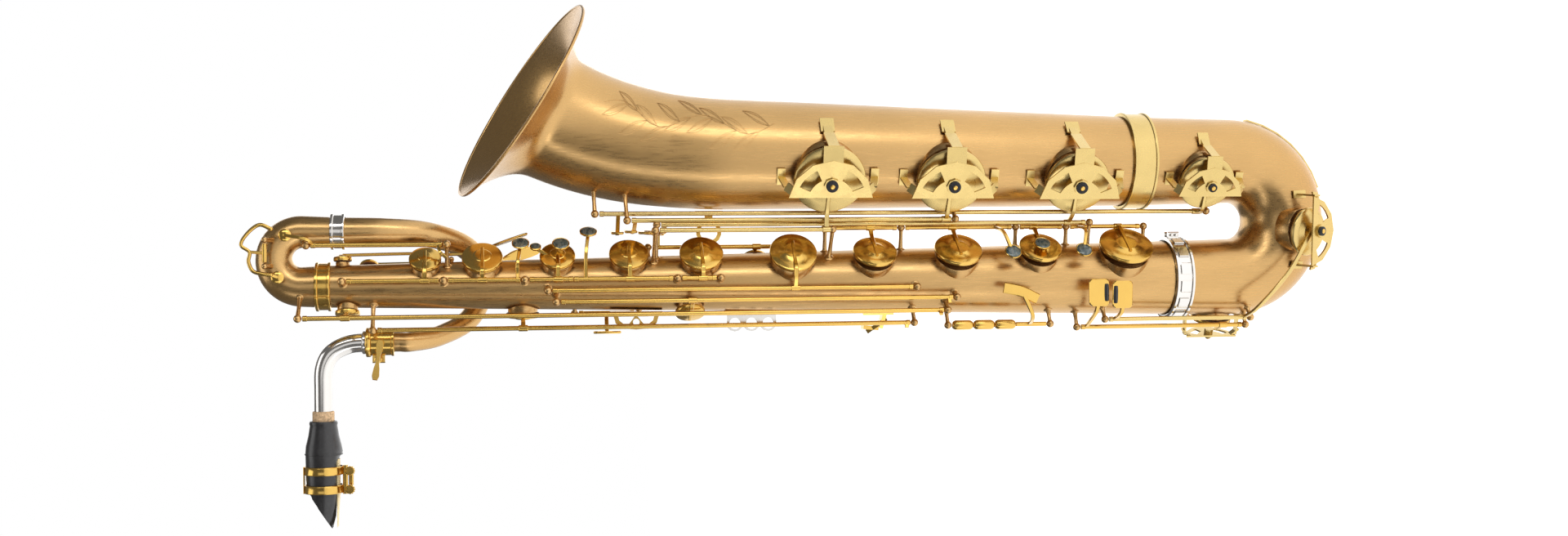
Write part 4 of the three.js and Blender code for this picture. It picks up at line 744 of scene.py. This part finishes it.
def ligature():
    """Two bands, the plates that tie them, and two knurled screws."""
    bands = Build()
    centre = at(MOUTHPIECE_FOOT_X, 0, NECK_RISE_Z)
    inner = 17.3 + GAP
    for along in (44, 62):
        bands.lathe([(inner, along), (inner + 0.8, along), (inner + 1.3, along + 0.7),
                     (inner + 1, along + 1.6), (inner + 1, along + 6.4), (inner + 1.3, along + 7.3),
                     (inner + 0.8, along + 8), (inner, along + 8)], centre, at(-1, 0, 0), 56, closed=True)
    bands.strip([centre + at(-44, 0, inner + 1), centre + at(-70, 0, inner + 1)], at(0, 1, 0), 11, 1.2)
    under = [centre + at(-along, -2, -inner - 2.8) for along in (43, 71)]
    bands.strip(under, at(0, 1, 0), 7, 4.6, edge=1)
    shown(bands, "ligature_fine", "mouthpiece_body", "gold_lacquer", ["ligature"])
    screws = Build()
    level = -inner - 8
    for along in (48, 66):
        screws.rod(centre + at(-along, -9, level), centre + at(-along, 5, level), 1.6)
        screws.rod(centre + at(-along, -13, level), centre + at(-along, -8, level), 4.4, end=0.7)
        for a in turns_of(12):
            spoke = centre + at(-along + 4.3 * math.cos(a), -12.6, level + 4.3 * math.sin(a))
            screws.rod(spoke, spoke + at(0, 4.2, 0), 0.55, 8, 0.2)
    screws.strip([centre + at(-45, 1.5, level), centre + at(-69, 1.5, level)], at(0, 1, 0), 5, 4.4, edge=1)
    shown(screws, "ligature_screws_fine", "mouthpiece_body", "gold_lacquer", ["ligature_screws"])


def clamp():
    """Clamp ring with raised rectangular panels, and its two screws in front."""
    radius = BODY_FOOT_R + 0.6
    build = Build()
    low = BODY_FOOT_Z - 10
    inner, outer = radius + GAP, radius + 2.2
    profile = [(inner, low), (outer, low), (outer + 1.6, low + 0.8), (outer + 1.6, low + 3),
               (outer, low + 3.8), (outer, low + 16.2), (outer + 1.6, low + 17), (outer + 1.6, low + 19.2),
               (outer, low + 20), (inner, low + 20)]
    build.lathe(profile, at(0, 0, 0), at(0, 0, 1), 72, closed=True)
    for turn in range(25, 336, 26):
        spot = around(turn) * (outer + 0.5)
        side = at(0, 0, 1).cross(around(turn))
        build.strip([spot + at(0, 0, low + 4.9), spot + at(0, 0, low + 15.1)], side, 12, 1.8, edge=0.6)
    x = BODY_FOOT_R + 5.4
    for side in (-1, 1):
        build.strip([at(x, side * 5, low + 4), at(x, side * 5, low + 16)], at(1, 0, 0), 8, 3.6, edge=1)
    for z in (-2.5, 2.5):
        build.rod(at(x + 0.6, -9.5, BODY_FOOT_Z + z), at(x + 0.6, 9.5, BODY_FOOT_Z + z), 1.7)
    shown(build, "body_bow_clamp_fine", "root", "silver_plate", ["body_bow_clamp"])


# ---------------------------------------------------------------- keys


class Key:
    """One key: its metal, pads, pearls and felts, all swung open by the same angle."""

    def __init__(self, node, slot="gold_lacquer", line=None, degrees=0):
        self.node, self.slot = node, slot
        self.swing = (on_line(line, 0), degrees) if degrees else None
        self.builds = {}

    def build(self, slot=None):
        return self.builds.setdefault(slot or self.slot, Build())

    def done(self):
        for slot, build in self.builds.items():
            first = slot == self.slot
            name = f"{self.node}_fine" if first else f"{self.node}_{slot}"
            shown(build, name, f"{self.node}_body", slot, [self.node] if first else [], self.swing)


def pad_cup(key, hole):
    """Domed cup with a rim groove, and the leather pad in it."""
    r = hole["cup"]
    base = point_on(hole, chimney_top(hole) + PAD_CLOSED_GAP)
    key.build().lathe([(r - 0.9, 0.5), (r - 0.2, 0.6), (r, 1.2), (r, 3.5), (r - 0.5, 4.3), (r - 1.6, 4.7),
                       (r * 0.72, 5.2), (r * 0.45, 5.9), (r * 0.42, 6.4), (r * 0.34, 6.7), (0, 6.8)],
                      base, hole["out"], 48)
    pad = [(0, 0.1), (r - 4.2, 0.1), (r - 3.4, 0.35), (r - 2.6, 0.05), (r - 1.0, 0.1), (r - 0.6, 0.6),
           (r - 0.6, 1.0), (0, 1.0)]
    key.build("pad_leather").lathe(pad, base, hole["out"], 48)


def cup_arm(key, hole, hinge):
    """Tapered arm from the rod over the edge of its cup to past the middle."""
    level = chimney_top(hole) + PAD_CLOSED_GAP + CUP_DEPTH + 0.9
    centre = point_on(hole, level + CUP_DOME * 0.6)
    flat = hinge - centre
    flat = flat - hole["out"] * flat.dot(hole["out"])
    distance = flat.length
    flat.normalize()
    knee = point_on(hole, level) + flat * min(hole["cup"] + 1.2, distance)
    side = flat.cross(hole["out"])
    past = centre - flat * (hole["cup"] * 0.5)
    build = key.build()
    build.strip([hinge, knee, centre.lerp(knee, 0.5), centre, past], side, 4.6, 2.8, 0.62)
    build.rod(hinge - at(0, 0, 4.5), hinge + at(0, 0, 4.5), 3.1)


def hinge_rod(key, line, index=0, top=None, foot=None):
    heights = LINES[line][2]
    top = top or heights[index] - POST_BALL_R - GAP
    foot = foot or heights[index + 1] + POST_BALL_R + GAP
    build = key.build()
    build.rod(on_line(line, foot), on_line(line, top), ROD_R)
    for z in (top - 2.4, foot + 2.4):
        build.rod(on_line(line, z - 2.2), on_line(line, z + 2.2), 2.75, end=0.3)
    return top, foot


def pearl_touch(key, centre, out, stalk_from, radius=PEARL_R, knee=None):
    holder = key.build()
    holder.lathe([(0, -PEARL_T), (radius * 0.5, -PEARL_T * 0.85), (radius * 0.9, -PEARL_T * 0.55),
                  (radius, -PEARL_T * 0.3), (radius, 0.1), (radius - 0.5, 0.4), (radius - 1.0, 0.1),
                  (0, 0.0)], centre, out, 36)
    inlay = [(radius - 1.1, -0.1), (radius - 1.1, 0.4), (radius * 0.8, 0.8), (radius * 0.5, 1.1), (0, 1.2)]
    key.build("dark_pearl").lathe(inlay, centre, out, 36)
    foot = centre - out * (PEARL_T * 0.6)
    holder.strip([stalk_from, knee, foot] if knee else [stalk_from, foot], at(0, 0, 1), 3.4, 3)


def stack_key(name, hole_name, line, index, degrees, pearls=(), top=None, foot=None):
    key = Key(name, line=line, degrees=degrees)
    hole = hole_on_body(hole_name)
    hinge_rod(key, line, index, top, foot)
    pad_cup(key, hole)
    cup_arm(key, hole, on_line(line, hole["base"].z))
    for pearl_args in pearls:
        pearl_touch(key, *pearl_args)
    key.done()


def stack_keys():
    upper, lower = "upperStack", "lowerStack"
    s = STACK_OPENING
    stack_key("key_high", "high", upper, 0, -s)
    stack_key("key_c", "c", upper, 1, -s, [(on_body(31, 46, 694), around(31), on_line(upper, 697), PEARL_R,
                                            on_body(62, 44, 697))])
    stack_key("key_b", "b", upper, 2, -s, [(on_body(34, 47, 655), around(34), on_body(36, 33, 655)),
                                           (on_body(30, 41, 679.5), around(30), on_body(36, 33, 668), 5.6)],
              foot=643.2)
    stack_key("key_bis", "bis", upper, 2, -s, [(on_body(24, 55, 628), around(24), on_line(upper, 631),
                                                PEARL_R, on_body(52, 45, 631))], top=642.8)
    stack_key("key_a", "a", upper, 3, -s)
    stack_key("key_g", "g", "gKey", 0, -s)
    stack_key("key_f_sharp", "fsharp", lower, 0, s)
    stack_key("key_f", "f", lower, 1, s, [(on_body(62, 50, 202), around(60), on_line(lower, 210), PEARL_R,
                                           on_body(38, 56, 208))])
    stack_key("key_e", "e", lower, 2, s, [(on_body(52, 52, 170), around(50), on_body(47, 44, 170))])
    stack_key("key_d", "d", lower, 3, s, [(on_body(62, 52, 128), around(60), on_line(lower, 121), PEARL_R,
                                           on_body(38, 58, 122))])


def rounded(half_u, half_v, corner):
    """Outline of a plate with round corners."""
    points = []
    for cu, cv, start in ((half_u - corner, -half_v + corner, -90), (half_u - corner, half_v - corner, 0),
                          (-half_u + corner, half_v - corner, 90), (-half_u + corner, -half_v + corner, 180)):
        for step in range(5):
            a = math.radians(start + step * 22.5)
            points.append((cu + corner * math.cos(a), cv + corner * math.sin(a)))
    return points


def table_plate(key, line, hinge_z, plate_z):
    build = key.build("gold_lacquer")
    bent = [on_line(line, hinge_z), at(TABLE_X, -8, hinge_z), at(TABLE_X, -6, plate_z)]
    build.strip(bent, at(0, 0, 1), 4, 2.8)
    build.slab(rounded(10, 6.3, 3), 2.6, at(TABLE_X, -3, plate_z), at(1, 0, 0), at(0, 1, 0), 0.7)


def bell_keys():
    for name, hole, line, tables in (
        ("key_low_a", hole_on_bell("lowA"), "lowA", ()),
        ("key_low_b_flat", hole_on_bell("lowBflat"), "lowBflat", ((582, 584.5),)),
        ("key_low_b", hole_on_bell("lowB"), "lowB", ((552, 571),)),
        ("key_low_c_sharp", LOW_CSHARP, "lowCsharp", ((598, 598),)),
    ):
        key = Key(name, "pale_brass", line, -BELL_OPENING)
        pad_cup(key, hole)
        cup_arm(key, hole, on_line(line, hole["base"].z))
        hinge_rod(key, line)
        for hinge_z, plate_z in tables:
            table_plate(key, line, hinge_z, plate_z)
        key.done()


def pinky_plate(key, line, z_arm, z_mid):
    centre = at(-14, -56, z_mid)
    build = key.build("gold_lacquer")
    bent = [on_line(line, z_arm), at(-32, -52, z_arm), centre + at(0, 1, z_arm - z_mid)]
    build.strip(bent, at(0, 0, 1), 4, 2.8)
    build.slab(rounded(14, 10.5, 4), 3, centre, at(0, -1, 0), at(1, 0, 0), 0.9)
    edge = 1 if z_mid < 100 else -1
    roller = centre + at(0, -0.9, edge * 7.6)
    key.build("black_hard_rubber").lathe([(1.2, -9), (2.2, -8.4), (2.5, -4), (2.5, 4), (2.2, 8.4), (1.2, 9)],
                                         roller, at(1, 0, 0), 20)


def low_c_key():
    key = Key("key_low_c", "pale_brass", "lowC", -LOW_C_OPENING)
    _, foot = hinge_rod(key, "lowC")
    pad_cup(key, LOW_C)
    middle = point_on(LOW_C, cup_top(LOW_C))
    bent = [on_line("lowC", foot + 3), at(-28, -56, foot - 2), at(8, -64, -84), middle]
    key.build().strip(bent, at(0, 0, 1), 4, 2.8)
    pinky_plate(key, "lowC", 90, 91)
    key.done()


def low_eflat_key():
    key = Key("key_low_e_flat")
    hinge_rod(key, "lowEflat")
    pad_cup(key, LOW_EFLAT)
    cup_arm(key, LOW_EFLAT, on_line("lowEflat", LOW_EFLAT["base"].z))
    pinky_plate(key, "lowEflat", 116, 115)
    key.done()


def side_keys():
    for name, hole_name, line, link in (
        ("key_side_c", "sideC", "sideLow", at(-6, -3, 0)),
        ("key_side_b_flat", "sideBflat", "sideHigh", at(-5, -2, 0)),
        ("key_high_e", "highE", "sideMid", at(-4, -6, 0)),
    ):
        key = Key(name)
        hole = hole_on_body(hole_name)
        _, foot = hinge_rod(key, line)
        pad_cup(key, hole)
        cup_arm(key, hole, on_line(line, hole["base"].z))
        start = on_line(line, foot + 4)
        key.build().strip([start, start + link], at(0, 0, 1), 4, 2.6)
        key.done()
    top = LINES["touches"][2][0] - POST_BALL_R - GAP
    for index in range(3):
        key = Key(f"side_touch_{index + 1}")
        barrel = [(1.2, 0), (2.6, 0.2), (3.6, 0.9), (4.5, 2.2), (5, 4), (5, 18), (4.5, 19.8), (3.6, 21.1),
                  (2.6, 21.8), (1.2, 22)]
        key.build().lathe(barrel, on_line("touches", top - index * TOUCH_PITCH), at(0, 0, -1), 32)
        key.done()
    key = Key("side_paddle")
    foot = LINES["touches"][2][1] + POST_BALL_R + GAP
    build = key.build()
    build.rod(on_line("touches", foot), on_line("touches", top - 3 * TOUCH_PITCH), ROD_R)
    build.strip([on_line("touches", 178), at(-36, -50, 183), at(-16, -51, 192)], at(0, 0, 1), 4, 2.8)
    build.strip([at(-8, -51, 213), at(-12, -51, 195), at(-20, -51, 178)], at(1, 0, 0), 11, 2.6, edge=0.9)
    key.done()


def g_sharp_key():
    key = Key("key_g_sharp")
    hole = hole_on_body("gSharp")
    hinge_rod(key, "gSharp")
    pad_cup(key, hole)
    cup_arm(key, hole, on_line("gSharp", hole["base"].z))
    key.build().strip([on_line("gSharp", 556), at(48, 12, 556)], at(0, 0, 1), 4, 2.8)
    key.build().slab(rounded(8, 6, 3), 2.6, at(49, 14, 556), at(1, 0, 0), at(0, 1, 0), 0.7)
    key.done()


def thumb_lever():
    key = Key("low_a_thumb_lever")
    hinge_rod(key, "lowAThumb")
    key.build().strip([on_line("lowAThumb", 608), at(-47, 18, 608), at(-49, 12, 608)], at(0, 0, 1), 4, 2.8)
    key.build().slab(rounded(14, 7, 4), 2.6, at(-49, 12, 608), at(-1, 0, 0), at(0, 0, 1), 0.7)
    key.done()


def palm_hinge(name):
    turn = BODY_HOLES[name][1]
    z = PALM[name][0]
    return on_body(turn, body_radius(z) + PALM_RISE, z), around(turn), around(turn + 90), turn


def palm_keys():
    for name, (hinge_z, leaf_z, leaf_out) in PALM.items():
        centre, out, axis, turn = palm_hinge(name)
        hole = hole_on_body(name)
        key = Key(f"palm_key_{name}")
        build = key.build()
        half = PALM_POST_OFFSET - SMALL_BALL_R - GAP
        build.rod(centre - axis * half, centre + axis * half)
        pad_cup(key, hole)
        top = point_on(hole, cup_top(hole) - 0.6)
        leaf = on_body(turn, leaf_out, leaf_z)
        face = (out + at(0, 0, 0.35)).normalized()
        down = at(0, 0, -1) + face * face.z
        leaf_top = leaf - down.normalized() * 13
        build.strip([top, on_body(turn, hole["tube"] + 11, hinge_z + 20), centre], axis, 4, 2.8)
        build.strip([centre, on_body(turn, 32, leaf_z + 32), leaf_top], axis, 4, 2.8)
        half_leaf = [(-19, -2), (-11, -6), (0, -8), (10, -7), (17, -5), (20.5, -2.5)]
        outline = half_leaf + [(u, -v) for u, v in reversed(half_leaf)]
        build.slab(outline, 2.2, leaf, face, down, 0.8)
        key.done()


def vent_cup(key, tip, out):
    base = tip + out * PAD_CLOSED_GAP
    key.build().lathe([(5.4, 0.5), (6, 1.0), (6, 3), (5.2, 3.6), (3.4, 4.5), (0, 5)], base, out, 32)
    key.build("pad_leather").lathe([(0, 0), (5, 0), (5.2, 0.7), (0, 0.7)], base, out, 32)


def octave_keys():
    key = Key("octave_key")
    _, tip, out = octave_pips()[0]
    top, foot = hinge_rod(key, "octave")
    vent_cup(key, tip, out)
    back = tip + out * (PAD_CLOSED_GAP + 4.4)
    key.build().strip([on_line("octave", top - 3), at(46, -33, 898), back], at(1, 0, 0), 3, 2.4)
    link = [on_line("octave", foot + 4), at(33, -33, foot + 2), at(27, -33, foot - 4)]
    key.build().strip(link, at(0, 0, 1), 3, 2.4)
    key.done()
    key = Key("octave_lyre")
    build = key.build()
    hinge = LYRE_HINGE
    _, tip, out = octave_pips()[1]
    build.rod(hinge - at(9, 0, 0), hinge + at(9, 0, 0))
    loop = [at(56, -28, 930), at(60, -27, 941), at(52, -26, 952), at(41, -27, 958), at(34, -28, 950),
            at(25, -28, 951), at(16, -29, 947), at(13, -31, 938), at(12, -32, 930)]
    build.sweep(smooth_path(loop, 6), lambda s: 1.7 + 0.3 * abs(2 * s - 1), 14)
    build.ball(loop[0], 2.0, 14)
    build.ball(loop[-1], 2.0, 14)
    build.strip([hinge, at(34, -28, 949)], at(1, 0, 0), 3, 3)
    vent_cup(key, tip, out)
    build.strip([at(12.4, -31.5, 932), tip + out * (PAD_CLOSED_GAP + 4.4)], at(1, 0, 0), 3, 2.4)
    key.done()


# ---------------------------------------------------------------- what keeps its CAD shape


def carried_nodes():
    """CAD nodes whose shape is right, with their edges softened and their own finish."""
    finishes = {
        "strap_plate": SILVER, "bell_brace": GOLD, "thumb_rest": GOLD, "thumb_hook": GOLD, "bow_strip": PALE,
        "guard_low_a": PALE, "guard_low_b_flat": PALE, "guard_low_b": PALE, "guard_low_c_sharp": PALE,
        "guard_low_c": PALE, "guard_low_e_flat": PALE,
    }
    for name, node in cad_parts.items():
        if not node.hide_render:
            node.data.materials.clear()
            node.data.materials.append(finishes.get(name, GOLD))
            soften = node.modifiers.new("soft edges", "BEVEL")
            soften.width = 0.0003
            soften.segments = 2
            soften.limit_method = "ANGLE"
            soften.angle_limit = math.radians(35)
            soften.harden_normals = False


def guard_felts():
    """Black felt bumper with a brass screw in the hub of each guard."""
    for name, hole, size in (("low_a", hole_on_bell("lowA"), 1), ("low_b_flat", hole_on_bell("lowBflat"), 1),
                             ("low_b", hole_on_bell("lowB"), 1), ("low_c_sharp", LOW_CSHARP, 0.8),
                             ("low_c", LOW_C, 0.85), ("low_e_flat", LOW_EFLAT, 0.66)):
        level = cup_top(hole) + GUARD_RISE
        cap = Build()
        hub = 8 * size
        profile = [(hub - 2.6, 3.0), (hub - 2.0, 3.6), (hub - 2.0, 4.6), (hub - 3.0, 5.2), (0, 5.2)]
        cap.lathe(profile, point_on(hole, level), hole["out"], 32)
        shown(cap, f"guard_{name}_felt", "root", "felt")
        screw = Build()
        screw.lathe([(2.2, 5.0), (2.4, 5.6), (1.8, 6.1), (0, 6.3)], point_on(hole, level), hole["out"], 20)
        shown(screw, f"guard_{name}_screw", "root", "gold_lacquer")


def engraving():
    """Generic leaf scrolls cut lightly into the front of the bell, as thin raised lines."""
    path = bell_path()
    part = shares(path)
    along = tangents(path)

    def on_bell(z, turn, out=0.12):
        index = min(range(len(path)), key=lambda i: abs(path[i].z - z))
        lower = max(index - (path[index].z > z), 0)
        span = path[lower + 1].z - path[lower].z
        t = (z - path[lower].z) / span
        centre = path[lower].lerp(path[lower + 1], t)
        way = along[lower].lerp(along[lower + 1], t).normalized()
        side = (around(turn) - way * around(turn).dot(way)).normalized()
        return centre + side * (bell_radius_at(mix(part[lower], part[lower + 1], t)) + out)

    build = Build()
    for leaf in range(14):
        z0 = 450 + leaf * 11
        lean = 1 if leaf % 2 else -1
        turn0 = 62 + 10 * math.sin(leaf * 0.8)
        for inset in (0, 0.45):
            curve = []
            for step in range(13):
                t = step / 12
                bulge = math.sin(math.pi * t) * (9 - 9 * inset)
                curve.append(on_bell(z0 + 26 * t, turn0 + lean * (20 * t) + bulge * lean * 0.7))
            build.sweep(curve, lambda s: 0.10 + 0.09 * math.sin(math.pi * s), 6)
            curve = [on_bell(z0 + 26 * (k / 12), turn0 + lean * (20 * k / 12)
                             - math.sin(math.pi * k / 12) * (5 - 5 * inset) * lean) for k in range(13)]
            build.sweep(curve, lambda s: 0.10 + 0.09 * math.sin(math.pi * s), 6)
    stem = [on_bell(445 + 3.2 * k, 62 + 10 * math.sin((445 + 3.2 * k - 450) / 11 * 0.8)) for k in range(56)]
    build.sweep(stem, lambda s: 0.22, 6)
    shown(build, "bell_scrolls", "root", "rose_lacquer")


# ---------------------------------------------------------------- making the instrument

body_tube()
bow()
bell()
band_place = at(2 * BOW_BEND_R, 0, BELL_JOINT_Z)
collar("bell_bow_band", band_place, bell_radius(BELL_JOINT_Z + 13), 26, 1.6, "pale_brass")
collar("top_ferrule", at(0, 0, BODY_TOP_Z), body_radius(BODY_TOP_Z - 8), 15, 1.0, "gold_lacquer")
collar("pipe_ring", at(2 * TOP_BEND_R, 0, PIPE_TOP_Z), PIPE_TOP_R + 0.4, 14, 0.6, "silver_plate")
clamp()
upper_bow()
return_pipe()
neck()
neck_receiver()
mouthpiece()
reed_piece()
ligature()
stack_keys()
bell_keys()
low_c_key()
low_eflat_key()
side_keys()
g_sharp_key()
thumb_lever()
palm_keys()
octave_keys()
guard_felts()
engraving()
carried_nodes()

# ---------------------------------------------------------------- floor, light and camera


def studio():
    """Plain pale floor, a white surround and five soft lights."""
    floor = Build()
    corners = [(FLOOR_HALF * x, FLOOR_HALF * y) for x, y in ((-1, -1), (1, -1), (1, 1), (-1, 1))]
    floor.rings([[at(x, y, z) for x, y in corners] for z in (FLOOR_Z, FLOOR_Z + 1)], cap=True)
    mesh = floor.mesh("floor")
    pale = Nodes("pale_floor", Roughness=0.9, Emission_Color=(1, 1, 1, 1), Emission_Strength=1.0)
    pale.link(pale.ramp(pale.noise(3), [(0.3, (0.92, 0.92, 0.92, 1)), (0.7, (0.95, 0.95, 0.95, 1))]),
              pale.shader.inputs["Base Color"])
    mesh.materials.append(pale.material)
    stand = added("floor", mesh)
    world = bpy.data.worlds.new("studio")
    bpy.context.scene.world = world
    world.use_nodes = True
    tree = world.node_tree
    back = tree.nodes["Background"]
    back.inputs["Color"].default_value = (0.17, 0.165, 0.16, 1)
    back.inputs["Strength"].default_value = 1.0
    white = tree.nodes.new("ShaderNodeBackground")
    white.inputs["Color"].default_value = (1, 1, 1, 1)
    choice = tree.nodes.new("ShaderNodeMixShader")
    ray = tree.nodes.new("ShaderNodeLightPath")
    tree.links.new(ray.outputs["Is Camera Ray"], choice.inputs["Fac"])
    tree.links.new(back.outputs[0], choice.inputs[1])
    tree.links.new(white.outputs[0], choice.inputs[2])
    tree.links.new(choice.outputs[0], tree.nodes["World Output"].inputs["Surface"])
    for name, place, size, power in (
        ("key_light", at(1500, -1500, 300), (500, 2400), 11),
        ("fill_light", at(-1500, -1300, 200), (400, 2400), 5),
        ("front_light", at(200, -2400, 900), (900, 1500), 3),
        ("top_light", at(100, -200, 1900), (1400, 900), 6),
        ("rear_light", at(400, 1900, 500), (1200, 1800), 9),
    ):
        data = bpy.data.lights.new(name, "AREA")
        data.shape = "RECTANGLE"
        data.size, data.size_y = size[0] / 1000, size[1] / 1000
        data.energy = power
        lamp = added(name, data)
        lamp.location = place / 1000
        lamp.rotation_euler = (Vector((0.06, 0, 0)) - lamp.location).to_track_quat("-Z", "Y").to_euler()


def camera():
    down, roll = math.radians(9), math.radians(0.56)
    forward = at(0, math.cos(down), -math.sin(down))
    right0 = at(0, -math.sin(down), -math.cos(down))
    up0 = at(1, 0, 0)
    right = right0 * math.cos(roll) - up0 * math.sin(roll)
    up = right0 * math.sin(roll) + up0 * math.cos(roll)
    data = bpy.data.cameras.new("camera")
    data.lens = 40.66
    data.clip_end = 50
    eye = added("camera", data)
    place = Vector((0.0556, -1.77784, 0.2476))
    eye.matrix_world = Matrix((
        (right.x, up.x, -forward.x, place.x), (right.y, up.y, -forward.y, place.y),
        (right.z, up.z, -forward.z, place.z), (0, 0, 0, 1),
    ))
    bpy.context.scene.camera = eye
    bpy.context.scene.view_settings.view_transform = "Standard"


studio()
camera()
